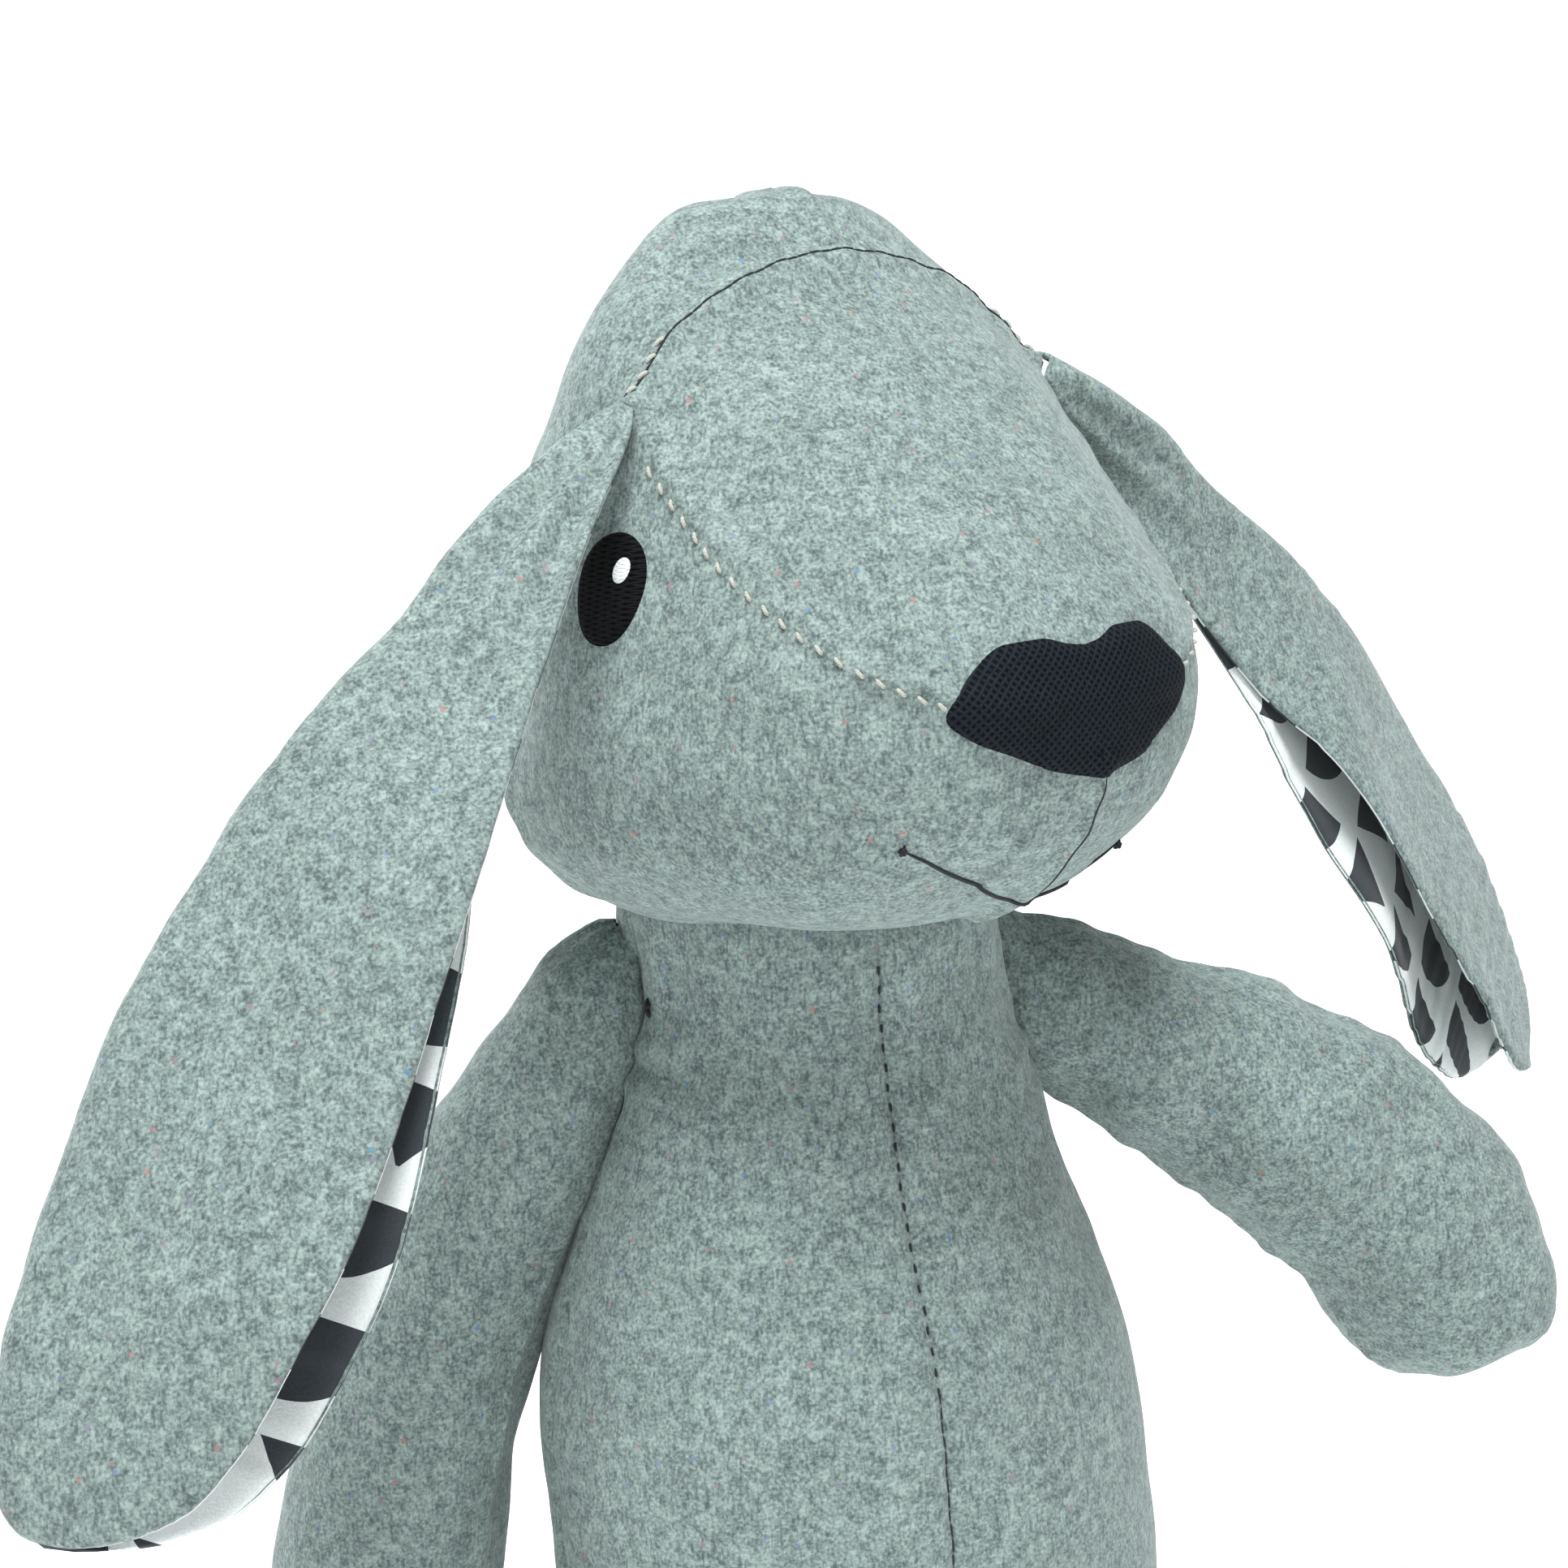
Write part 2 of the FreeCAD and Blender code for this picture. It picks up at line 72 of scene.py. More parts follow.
class Side(Enum):
    """The puppet's own left and right; the value is the sign of X."""

    LEFT = 1
    RIGHT = -1

    @property
    def word(self) -> str:
        """The side as part of a piece's name."""
        return self.name.lower()


class Slot(Enum):
    """Material slots of the part's record."""

    FELT = "grey_felt"
    PRINT = "printed_cotton"
    NOSE = "nose_cloth"
    EYE = "eye_thread"
    WHITE = "white_thread"
    DARK = "dark_thread"
    CREAM = "cream_thread"
    FILLING = "filling"


# ------------------------------------------------------------------ numbers


def eased(at: Array, knots: Sequence[float], values: Sequence[float]) -> Array:
    """Smooth curve through knots that never overshoots them.

    Args:
        at: where the curve is wanted.
        knots: rising positions.
        values: the curve's value at each knot.

    Returns:
        The curve's value at each place.
    """
    x = np.asarray(knots, float)
    y = np.asarray(values, float)
    gap = np.diff(x)
    slope = np.diff(y) / gap
    tangent = np.zeros_like(y)
    tangent[0], tangent[-1] = slope[0], slope[-1]
    before, after = slope[:-1], slope[1:]
    same = before * after > 0
    tangent[1:-1][same] = 2 * before[same] * after[same] / (before[same] + after[same])
    at = np.clip(np.asarray(at, float), x[0], x[-1])
    i = np.clip(np.searchsorted(x, at, side="right") - 1, 0, len(gap) - 1)
    t = (at - x[i]) / gap[i]
    rise = t * t * (3 - 2 * t)
    lead = t * (1 - t) ** 2 * gap[i] * tangent[i]
    tail = t * t * (t - 1) * gap[i] * tangent[i + 1]
    return y[i] + (y[i + 1] - y[i]) * rise + lead + tail


def unit(vectors: Array) -> Array:
    """Vectors scaled to length one."""
    length = np.linalg.norm(vectors, axis=-1, keepdims=True)
    return vectors / np.maximum(length, 1e-9)


def plan_direction(azimuth: float) -> Array:
    """Level direction at an angle in degrees from +X."""
    angle = math.radians(azimuth)
    return np.array((math.cos(angle), math.sin(angle), 0.0))


def turn_angles(count: int) -> Array:
    """Angles spread evenly over a full turn."""
    return np.arange(count) * TURN / count


def scaled(colour: Colour, factor: float) -> Colour:
    """The colour made darker or lighter by a factor."""
    red, green, blue = (factor * part for part in colour)
    return red, green, blue


def distance_to_line(points: Array, corners: Sequence[Sequence[float]]) -> Array:
    """Distance of flat points from a line of straight stretches.

    Args:
        points: flat points, one per row.
        corners: the line's corners in order.

    Returns:
        The shortest distance of each point.
    """
    best = np.full(len(points), np.inf)
    for start, end in zip(np.asarray(corners[:-1], float), np.asarray(corners[1:], float)):
        along = end - start
        share = np.clip((points - start) @ along / (along @ along), 0, 1)
        best = np.minimum(best, np.linalg.norm(points - start - share[:, None] * along, axis=1))
    return best


def resampled(points: Array, spacing: float) -> Array:
    """A smooth line through points, with even steps.

    Args:
        points: the line's guide points.
        spacing: step along the line, in the points' unit.

    Returns:
        Points a step apart, the ends included.
    """
    points = np.asarray(points, float)
    run = np.concatenate(([0.0], np.cumsum(np.linalg.norm(np.diff(points, axis=0), axis=1))))
    count = max(int(round(run[-1] / spacing)), 2)
    at = np.linspace(0, run[-1], count + 1)
    return np.stack([eased(at, run, points[:, k]) for k in range(points.shape[1])], axis=1)


@dataclass(frozen=True)
class Lumps:
    """Gentle unevenness of stuffed felt: a sum of fixed waves, in millimetres."""

    seed: int
    wavelength: float
    height: float

    def at(self, points: Array) -> Array:
        """Height of the unevenness at each point."""
        chance = np.random.default_rng(self.seed)
        total = np.zeros(len(points))
        for _ in range(10):
            direction = unit(chance.normal(size=3))
            wave = self.wavelength * chance.uniform(0.7, 1.6)
            total += np.sin(points @ direction * TURN / wave + chance.uniform(0, 6.28))
        return total * self.height / 3.2


@dataclass(frozen=True)
class Groove:
    """How deep and wide felt dips along a seam, with its puckers, in millimetres."""

    depth: float = 1.1
    width: float = 2.0
    pucker: float = 0.14
    reach: float = 4.0
    pitch: float = 7.5

    def dip(self, distance: Array, run: Array) -> Array:
        """How far the felt sinks at a distance from the seam, a run along it."""
        valley = self.depth * np.exp(-((distance / self.width) ** 2))
        swing = np.sin(run * TURN / self.pitch) + 0.6 * np.sin(run * 3.7 / self.pitch + 1)
        return valley + self.pucker * swing * np.exp(-distance / self.reach)


# ------------------------------------------------------------------ meshes


def grid_faces(rows: int, columns: int, closed: bool) -> list[tuple[int, int, int, int]]:
    """Four-cornered faces of a grid of points, row by row.

    Args:
        rows: number of rows.
        columns: number of points in a row.
        closed: whether each row runs back into its start.

    Returns:
        The corner numbers of each face.
    """
    around = columns if closed else columns - 1
    faces = []
    for row in range(rows - 1):
        low, high = row * columns, (row + 1) * columns
        for column in range(around):
            after = (column + 1) % columns
            faces.append((low + column, low + after, high + after, high + column))
    return faces


def new_piece(name: str, points: Array, faces: Sequence[Sequence[int]]) -> Piece:
    """A smooth-shaded mesh piece from points in millimetres.

    Args:
        name: the piece's name.
        points: one point per row.
        faces: corner numbers of each face.

    Returns:
        The new object, linked to the scene.
    """
    mesh = bpy.data.meshes.new(name)
    mesh.from_pydata((np.asarray(points) * MM).tolist(), [], [tuple(map(int, f)) for f in faces])
    mesh.validate()
    mesh.polygons.foreach_set("use_smooth", [True] * len(mesh.polygons))
    mesh.update()
    piece = bpy.data.objects.new(name, mesh)
    bpy.context.scene.collection.objects.link(piece)
    return piece


def points_of(piece: Piece) -> Array:
    """The piece's points in millimetres."""
    flat = np.empty(len(piece.data.vertices) * 3)
    piece.data.vertices.foreach_get("co", flat)
    return flat.reshape(-1, 3) / MM


def set_points(piece: Piece, points: Array) -> None:
    """Moves the piece's points, given in millimetres."""
    piece.data.vertices.foreach_set("co", (points * MM).ravel())
    piece.data.update()


def normals_of(piece: Piece) -> Array:
    """Outward direction at each of the piece's points."""
    flat = np.empty(len(piece.data.vertices) * 3)
    piece.data.vertex_normals.foreach_get("vector", flat)
    return flat.reshape(-1, 3)


def thickened(piece: Piece, thickness: float) -> None:
    """Gives a sheet its thickness in millimetres, inwards from its face."""
    solidify = piece.modifiers.new("thickness", "SOLIDIFY")
    solidify.thickness = thickness * MM
    solidify.offset = -1.0
    solidify.use_even_offset = False
    settle(piece)


def settle(piece: Piece) -> None:
    """Applies the piece's modifiers to its mesh."""
    ready = piece.evaluated_get(bpy.context.evaluated_depsgraph_get())
    mesh = bpy.data.meshes.new_from_object(ready)
    piece.modifiers.clear()
    piece.data = mesh


def puffed(piece: Piece, sewn: Array, pressure: float, cap: float, frames: int = 16) -> None:
    """Fills a closed felt form by cloth simulation, held along its seams.

    Args:
        piece: the closed form.
        sewn: numbers of the points that the seams hold.
        pressure: how hard the filling pushes.
        cap: furthest that a point may move, in millimetres.
        frames: length of the simulation.
    """
    scene = bpy.context.scene
    start = points_of(piece)
    group = piece.vertex_groups.new(name="sewn")
    group.add([int(i) for i in sewn], 1.0, "REPLACE")
    cloth = piece.modifiers.new("felt", "CLOTH")
    cloth.settings.quality = 4
    cloth.settings.use_pressure = True
    cloth.settings.uniform_pressure_force = pressure
    cloth.settings.vertex_group_mass = "sewn"
    cloth.settings.effector_weights.gravity = 0.0
    cloth.point_cache.frame_start = 1
    cloth.point_cache.frame_end = frames
    for number in range(1, frames + 1):
        scene.frame_set(number)
    ready = piece.evaluated_get(bpy.context.evaluated_depsgraph_get())
    flat = np.empty(len(ready.data.vertices) * 3)
    ready.data.vertices.foreach_get("co", flat)
    move = flat.reshape(-1, 3) / MM - start
    length = np.linalg.norm(move, axis=1, keepdims=True)
    move *= np.minimum(1.0, cap / np.maximum(length, 1e-6))
    piece.modifiers.remove(cloth)
    piece.vertex_groups.clear()
    scene.frame_set(1)
    set_points(piece, start + move)


def panels_of(piece: Piece, kind_of: Callable[[Array], Array],
              names: Sequence[str]) -> dict[str, Piece]:
    """Splits a form into its sewn panels.

    Args:
        piece: the whole form; it is removed.
        kind_of: gives the number of each face's panel from the faces' middles.
        names: the panels' names, by number.

    Returns:
        The panels by name.
    """
    mesh = piece.data
    points = points_of(piece)
    corners = [tuple(face.vertices) for face in mesh.polygons]
    middles = np.array([points[list(face)].mean(axis=0) for face in corners])
    kinds = kind_of(middles)
    panels = {}
    for number, name in enumerate(names):
        chosen = [corners[i] for i in np.flatnonzero(kinds == number)]
        used = np.unique([corner for face in chosen for corner in face])
        renumber = np.zeros(len(points), int)
        renumber[used] = np.arange(len(used))
        faces = [tuple(renumber[list(face)]) for face in chosen]
        panels[name] = new_piece(name, points[used], faces)
    bpy.data.objects.remove(piece)
    bpy.data.meshes.remove(mesh)
    return panels


@dataclass(frozen=True)
class Thread:
    """Sewing thread: its radius and how high a stitch stands, in millimetres."""

    radius: float = 0.45
    rise: float = 0.5
    sides: int = 8
    steps: int = 7

    def tube(self, line: Array, facing: Array) -> tuple[Array, list[Sequence[int]]]:
        """Points and faces of one length of thread, narrower where its ends enter the felt.

        Args:
            line: the thread's middle line.
            facing: direction away from the felt at each point of the line.

        Returns:
            The points and the faces.
        """
        along = unit(np.gradient(line, axis=0))
        across = unit(np.cross(along, facing))
        out = np.cross(across, along)
        share = np.linspace(0, 1, len(line))
        radius = self.radius * np.sqrt(np.clip(1 - (2 * share - 1) ** 6, 0.12, 1))
        angles = turn_angles(self.sides)
        ring = np.cos(angles)[None, :, None] * across[:, None] + np.sin(angles)[None, :, None] * out[:, None]
        points = (line[:, None] + ring * radius[:, None, None]).reshape(-1, 3)
        faces: list[Sequence[int]] = list(grid_faces(len(line), self.sides, True))
        faces.append(tuple(range(self.sides))[::-1])
        faces.append(tuple(range((len(line) - 1) * self.sides, len(line) * self.sides)))
        return points, faces

    def stitches(self, name: str, pairs: Sequence[tuple[Array, Array, Array]]) -> Piece:
        """One mesh of short stitches.

        Args:
            name: the piece's name.
            pairs: each stitch's two ends and the direction away from the felt.

        Returns:
            The stitches as one piece.
        """
        points, faces, count = [], [], 0
        share = np.linspace(0, 1, self.steps)[:, None]
        for start, end, facing in pairs:
            line = start + (end - start) * share + facing * self.rise * np.sin(math.pi * share)
            tube, sides = self.tube(line, np.repeat(facing[None], self.steps, axis=0))
            points.append(tube)
            faces += [tuple(i + count for i in face) for face in sides]
            count += len(tube)
        return new_piece(name, np.concatenate(points), faces)

    def knot(self, name: str, spot: Array, facing: Array, leans: Sequence[Triple]) -> Piece:
        """Short stitches that cross over one spot, each along its own lean."""
        return self.stitches(name, [(spot - lean, spot + lean, facing) for lean in np.array(leans)])

    def run(self, name: str, line: Array, facing: Array) -> Piece:
        """One continuous thread lying on the felt."""
        points, faces = self.tube(line, facing)
        return new_piece(name, points, faces)


class Skin:
    """The finished felt surface, which threads and patches lie on."""

    def __init__(self, piece: Piece, heart: Callable[[Array], Array]) -> None:
        """Takes the surface and a function giving the inner point each ray starts from."""
        points = points_of(piece)
        self.tree = BVHTree.FromPolygons(points.tolist(), [tuple(f.vertices) for f in piece.data.polygons])
        self.heart = heart

    def lift(self, points: Array, height: float | Array = 0.0) -> tuple[Array, Array]:
        """Moves points onto the felt.

        Args:
            points: points near the surface.
            height: how far above the felt they end.

        Returns:
            The moved points, and the direction away from the felt at each.
        """
        points = np.asarray(points, float)
        heights = np.broadcast_to(height, len(points))
        placed, facing = np.empty_like(points), np.empty_like(points)
        for i, (point, start) in enumerate(zip(points, self.heart(points))):
            way = unit(point - start)
            hit, normal, _, _ = self.tree.ray_cast(Vector(start), Vector(way))
            if hit is None:
                hit, normal, _, _ = self.tree.find_nearest(Vector(point))
            normal = np.array(normal)
            if normal @ way < 0:
                normal = -normal
            placed[i] = np.array(hit) + normal * heights[i]
            facing[i] = normal
        return placed, facing

    def seam(self, name: str, guide: Sequence[Sequence[float]], thread: Thread, pitch: float,
             length: float, slant: float = 0.0) -> Piece:
        """A line of stitches along a seam.

        Args:
            name: the piece's name.
            guide: points near the seam, in order.
            thread: the thread used.
            pitch: distance between stitches.
            length: length of a stitch.
            slant: how far across the seam a stitch leans.

        Returns:
            The stitches as one piece.
        """
        line, facing = self.lift(resampled(np.asarray(guide), pitch), 0.0)
        along = unit(np.gradient(line, axis=0))
        across = unit(np.cross(facing, along))
        half = along * length / 2 + across * slant
        return thread.stitches(name, list(zip(line - half, line + half, facing)))


# ------------------------------------------------------------------ finishes


class Recipe:
    """Short way to write a node material."""

    def __init__(self, name: str) -> None:
        """Starts a material with a plain principled shader."""
        self.material = bpy.data.materials.new(name)
        self.material.use_nodes = True
        self.tree = self.material.node_tree
        self.shader = self.tree.nodes["Principled BSDF"]
        self.place = self.node("TexCoord").outputs["Object"]

    def node(self, kind: str, **settings: Any) -> bpy.types.Node:
        """A new shader node with settings on it."""
        made = self.tree.nodes.new("ShaderNode" + kind)
        for name, value in settings.items():
            setattr(made, name, value)
        return made

    def feed(self, socket: Socket, value: Any) -> None:
        """Links or sets one input."""
        if isinstance(value, Socket):
            self.tree.links.new(value, socket)
        elif isinstance(value, tuple) and socket.type == "RGBA" and len(value) == 3:
            socket.default_value = (*value, 1.0)
        else:
            socket.default_value = value

    def noise(self, scale: float, detail: float = 2.0, stretch: Triple = (1, 1, 1),
              turn: Triple = (0, 0, 0)) -> Socket:
        """Even noise, scale cells to the metre."""
        mapping = self.node("Mapping")
        self.feed(mapping.inputs["Vector"], self.place)
        mapping.inputs["Scale"].default_value = stretch
        mapping.inputs["Rotation"].default_value = turn
        made = self.node("TexNoise")
        self.feed(made.inputs["Vector"], mapping.outputs["Vector"])
        self.feed(made.inputs["Scale"], scale)
        self.feed(made.inputs["Detail"], detail)
        return made.outputs["Fac"]

    def ramp(self, value: Socket, low: float, high: float, start: float = 0.0,
             end: float = 1.0) -> Socket:
        """Spreads a value from low..high to start..end, clamped."""
        made = self.node("MapRange")
        given = {"Value": value, "From Min": low, "From Max": high, "To Min": start, "To Max": end}
        for name, setting in given.items():
            self.feed(made.inputs[name], setting)
        return made.outputs["Result"]

    def math(self, operation: str, *values: Any) -> Socket:
        """One arithmetic step."""
        made = self.node("Math", operation=operation)
        for socket, value in zip(made.inputs, values):
            self.feed(socket, value)
        return made.outputs["Value"]

    def weighted(self, *parts: tuple[Any, float]) -> Socket:
        """Sum of sockets, each times its own weight."""
        total = self.math("MULTIPLY", *parts[-1])
        for part in parts[-2::-1]:
            total = self.math("ADD", self.math("MULTIPLY", *part), total)
        return total

    def mix(self, share: Any, first: Any, second: Any, blend: str = "MIX") -> Socket:
        """Mixes two colours."""
        made = self.node("Mix", data_type="RGBA", blend_type=blend)
        self.feed(made.inputs["Factor"], share)
        self.feed(made.inputs[6], first)
        self.feed(made.inputs[7], second)
        return made.outputs[2]

    def bump(self, height: Socket, strength: float, distance: float) -> None:
        """Raises the surface a little by a height between 0 and 1."""
        made = self.node("Bump")
        self.feed(made.inputs["Height"], height)
        self.feed(made.inputs["Strength"], strength)
        self.feed(made.inputs["Distance"], distance)
        self.feed(self.shader.inputs["Normal"], made.outputs["Normal"])

    def finish(self, colour: Any, roughness: Any, sheen: float = 0.0, tint: Colour = (1, 1, 1),
               shine: float = 0.2) -> bpy.types.Material:
        """Joins the colour to the shader and returns the material."""
        self.feed(self.shader.inputs["Base Color"], colour)
        self.feed(self.shader.inputs["Roughness"], roughness)
        self.feed(self.shader.inputs["Sheen Weight"], sheen)
        self.feed(self.shader.inputs["Sheen Roughness"], 0.5)
        self.feed(self.shader.inputs["Sheen Tint"], tint)
        self.feed(self.shader.inputs["Specular IOR Level"], shine)
        return self.material


@dataclass(frozen=True)
class Felt:
    """Heathered wool felt: light and dark fibres with a few coloured flecks."""

    name: str
    light: Colour
    dark: Colour
    sheen: float = 0.25

    def material(self) -> bpy.types.Material:
        """The felt as a node material."""
        recipe = Recipe(self.name)
        grain = recipe.noise(1700, 3.0)
        clumps = recipe.noise(430, 2.0)
        clouds = recipe.noise(60, 3.0)
        fibres = recipe.noise(1500, 2.0, (0.3, 1, 1), (0.3, 0.2, 0.6))
        crossing = recipe.noise(1500, 2.0, (1, 1, 0.3), (0.5, 0.1, 0.2))
        speckle = recipe.weighted((grain, 0.62), (clumps, 0.38))
        base = recipe.mix(recipe.ramp(speckle, 0.36, 0.64), self.dark, self.light)
        paler = recipe.mix(recipe.ramp(fibres, 0.56, 0.74, 0.0, 0.32), base, (0.50, 0.57, 0.54))
        darker = recipe.mix(recipe.ramp(crossing, 0.53, 0.70, 0.0, 0.6), paler, (0.05, 0.07, 0.08))
        shade = recipe.ramp(clouds, 0.3, 0.7, 0.93, 1.05)
        toned = recipe.mix(1.0, darker, shade, "MULTIPLY")
        flecks = recipe.node("TexVoronoi")
        recipe.feed(flecks.inputs["Vector"], recipe.place)
        recipe.feed(flecks.inputs["Scale"], 420.0)
        near = recipe.math("LESS_THAN", flecks.outputs["Distance"], 0.2)
        parts = recipe.node("SeparateColor")
        recipe.feed(parts.inputs["Color"], flecks.outputs["Color"])
        rare = recipe.math("GREATER_THAN", parts.outputs["Red"], 0.88)
        hue = recipe.mix(parts.outputs["Green"], (0.42, 0.16, 0.12), (0.08, 0.22, 0.42))
        fleck = recipe.math("MULTIPLY", recipe.math("MULTIPLY", near, rare), 0.65)
        colour = recipe.mix(fleck, toned, hue)
        height = recipe.weighted((grain, 0.5), (fibres, 0.3), (crossing, 0.3))
        recipe.bump(height, 0.55, 0.0006)
        return recipe.finish(colour, recipe.ramp(grain, 0.3, 0.7, 0.88, 1.0), self.sheen, (0.85, 0.95, 0.95))


@dataclass(frozen=True)
class Printed:
    """White cotton printed with rows of black triangles and quarter discs."""

    name: str
    ground: Colour
    ink: Colour
    row: float = 0.02
    margin: float = 0.06
    triangle_height: float = 0.74
    disc_start: float = 0.12
    disc_radius: float = 0.76
    triangle_share: float = 0.45

    def material(self) -> bpy.types.Material:
        """The print as a node material, laid by the piece's own map in metres."""
        recipe = Recipe(self.name)
        where = recipe.node("UVMap", uv_map="cut")
        split = recipe.node("SeparateXYZ")
        recipe.feed(split.inputs["Vector"], where.outputs["UV"])
        across = recipe.math("DIVIDE", split.outputs["X"], self.row)
        up = recipe.math("DIVIDE", split.outputs["Y"], self.row)
        column = recipe.math("FLOOR", across)
        line = recipe.math("FLOOR", up)
        in_x = recipe.math("SUBTRACT", across, column)
        in_y = recipe.math("SUBTRACT", up, line)
        cell = recipe.node("CombineXYZ")
        recipe.feed(cell.inputs["X"], column)
        recipe.feed(cell.inputs["Y"], line)
        chance = recipe.node("TexWhiteNoise", noise_dimensions="2D")
        recipe.feed(chance.inputs["Vector"], cell.outputs["Vector"])
        middle = recipe.math("ABSOLUTE", recipe.math("SUBTRACT", in_x, 0.5))
        slope = recipe.math("SUBTRACT", 0.46, recipe.math("MULTIPLY", in_y, 0.6))
        triangle = recipe.math("MULTIPLY", recipe.math("LESS_THAN", middle, slope),
                               recipe.math("LESS_THAN", in_y, self.triangle_height))
        corner = recipe.math("SUBTRACT", in_x, self.disc_start)
        squares = (recipe.math("MULTIPLY", length, length) for length in (corner, in_y))
        reach = recipe.math("SQRT", recipe.math("ADD", *squares))
        disc = recipe.math("MULTIPLY", recipe.math("LESS_THAN", reach, self.disc_radius),
                           recipe.math("GREATER_THAN", corner, 0.0))
        pick = recipe.math("GREATER_THAN", chance.outputs["Value"], self.triangle_share)
        shape = recipe.math("ADD", recipe.math("MULTIPLY", pick, disc),
                            recipe.math("MULTIPLY", recipe.math("SUBTRACT", 1.0, pick), triangle))
        clear = recipe.math("GREATER_THAN", in_y, self.margin)
        inked = recipe.math("MULTIPLY", recipe.math("MULTIPLY", shape, clear), 0.97)
        weave = recipe.noise(2600, 1.0)
        ground = recipe.mix(recipe.ramp(weave, 0.3, 0.7), self.ground, scaled(self.ground, 0.88))
        ink = recipe.mix(recipe.ramp(weave, 0.3, 0.7), self.ink, scaled(self.ink, 1.7))
        recipe.bump(weave, 0.3, 0.0003)
        return recipe.finish(recipe.mix(inked, ground, ink), 0.85, 0.1)


@dataclass(frozen=True)
class Woven:
    """Cloth or satin stitch with a fine ribbed face; its rib tops carry painted highlight and its grooves
    painted shade.
    """

    name: str
    colour: Colour
    rib: float = 0.0011
    depth: float = 0.0005
    lean: Triple = (1.0, 0.0, 1.0)
    roughness: float = 0.75
    # how strongly the rib tops get painted highlight and the grooves painted shade
    contrast: float = 0.6
    sheen: float = 0.05
    shine: float = 0.2

    def material(self) -> bpy.types.Material:
        """The cloth as a node material, its rib tops painted lighter as painted highlight and its grooves
        darker as painted shade.
        """
        recipe = Recipe(self.name)
        split = recipe.node("SeparateXYZ")
        recipe.feed(split.inputs["Vector"], recipe.place)
        wobble = recipe.math("MULTIPLY", recipe.noise(300, 2.0), 1.6)
        turns = TURN / self.rib
        waves = []
        for sign in (1.0, -1.0):
            lean = recipe.weighted((split.outputs["X"], turns * sign * self.lean[0]),
                                   (split.outputs["Y"], turns * sign * self.lean[1]),
                                   (split.outputs["Z"], turns * self.lean[2]))
            waves.append(recipe.math("SINE", recipe.math("ADD", lean, wobble)))
        height = recipe.ramp(recipe.math("MAXIMUM", *waves), -0.6, 1.0)
        grain = recipe.noise(1700, 2.0)
        # painted highlight on the rib tops and painted shade in the grooves, spread by the rib height
        light = tuple(min(1.0, c * (1 + self.contrast) + 0.004) for c in self.colour)
        dark = scaled(self.colour, 1 - 0.5 * self.contrast)
        share = recipe.math("MULTIPLY", height, recipe.ramp(grain, 0.3, 0.7, 0.5, 1.0))
        colour = recipe.mix(share, dark, light)
        recipe.bump(recipe.math("ADD", height, recipe.math("MULTIPLY", grain, 0.4)), 0.6, self.depth)
        return recipe.finish(colour, self.roughness, self.sheen, shine=self.shine)


@dataclass(frozen=True)
class Paper:
    """Plain pale studio paper that glows a little."""

    name: str
    glow: float
    colour: Colour = (0.93, 0.93, 0.93)

    def material(self) -> bpy.types.Material:
        """The paper as a node material."""
        recipe = Recipe(self.name)
        clouds = recipe.ramp(recipe.noise(6, 2.0), 0.3, 0.7)
        tone = recipe.mix(clouds, self.colour, scaled(self.colour, 0.985))
        recipe.feed(recipe.shader.inputs["Emission Color"], (1.0, 1.0, 1.0))
        recipe.feed(recipe.shader.inputs["Emission Strength"], self.glow)
        return recipe.finish(tone, 0.9)


class Wardrobe:
    """Every finish of the puppet, made once."""

    def __init__(self) -> None:
        """Makes the materials."""
        finishes = {
            Slot.FELT: Felt("heather_felt", (0.312, 0.40, 0.378), (0.087, 0.121, 0.118)),
            Slot.PRINT: Printed("printed_lining", (0.80, 0.86, 0.86), (0.012, 0.017, 0.022)),
            # each woven finish below has painted highlight on its rib tops and painted shade in its grooves
            Slot.NOSE: Woven("black_nose_cloth", (0.006, 0.009, 0.012), rib=0.0015, contrast=1.2,
                             sheen=0.0, shine=0.06),
            Slot.EYE: Woven("black_satin_thread", (0.003, 0.0035, 0.004), rib=0.0009,
                            lean=(0.0, 0.25, 1.0), contrast=1.2, sheen=0.0, shine=0.05),
            Slot.WHITE: Woven("white_satin_thread", (0.80, 0.84, 0.84), rib=0.0006,
                              lean=(0.0, 0.3, 1.0), roughness=0.55, contrast=0.12),
            Slot.DARK: Woven("dark_thread", (0.018, 0.024, 0.028), rib=0.0005, depth=0.0002),
            Slot.CREAM: Woven("cream_thread", (0.46, 0.47, 0.42), rib=0.0005, depth=0.0002, contrast=0.25),
            Slot.FILLING: Felt("cotton_filling", (0.86, 0.86, 0.84), (0.68, 0.68, 0.66)),
        }
        self.made = {slot: finish.material() for slot, finish in finishes.items()}

    def dress(self, piece: Piece, slot: Slot) -> Piece:
        """Gives a piece its finish and its slot."""
        piece.data.materials.clear()
        piece.data.materials.append(self.made[slot])
        return piece


# ------------------------------------------------------------------ head


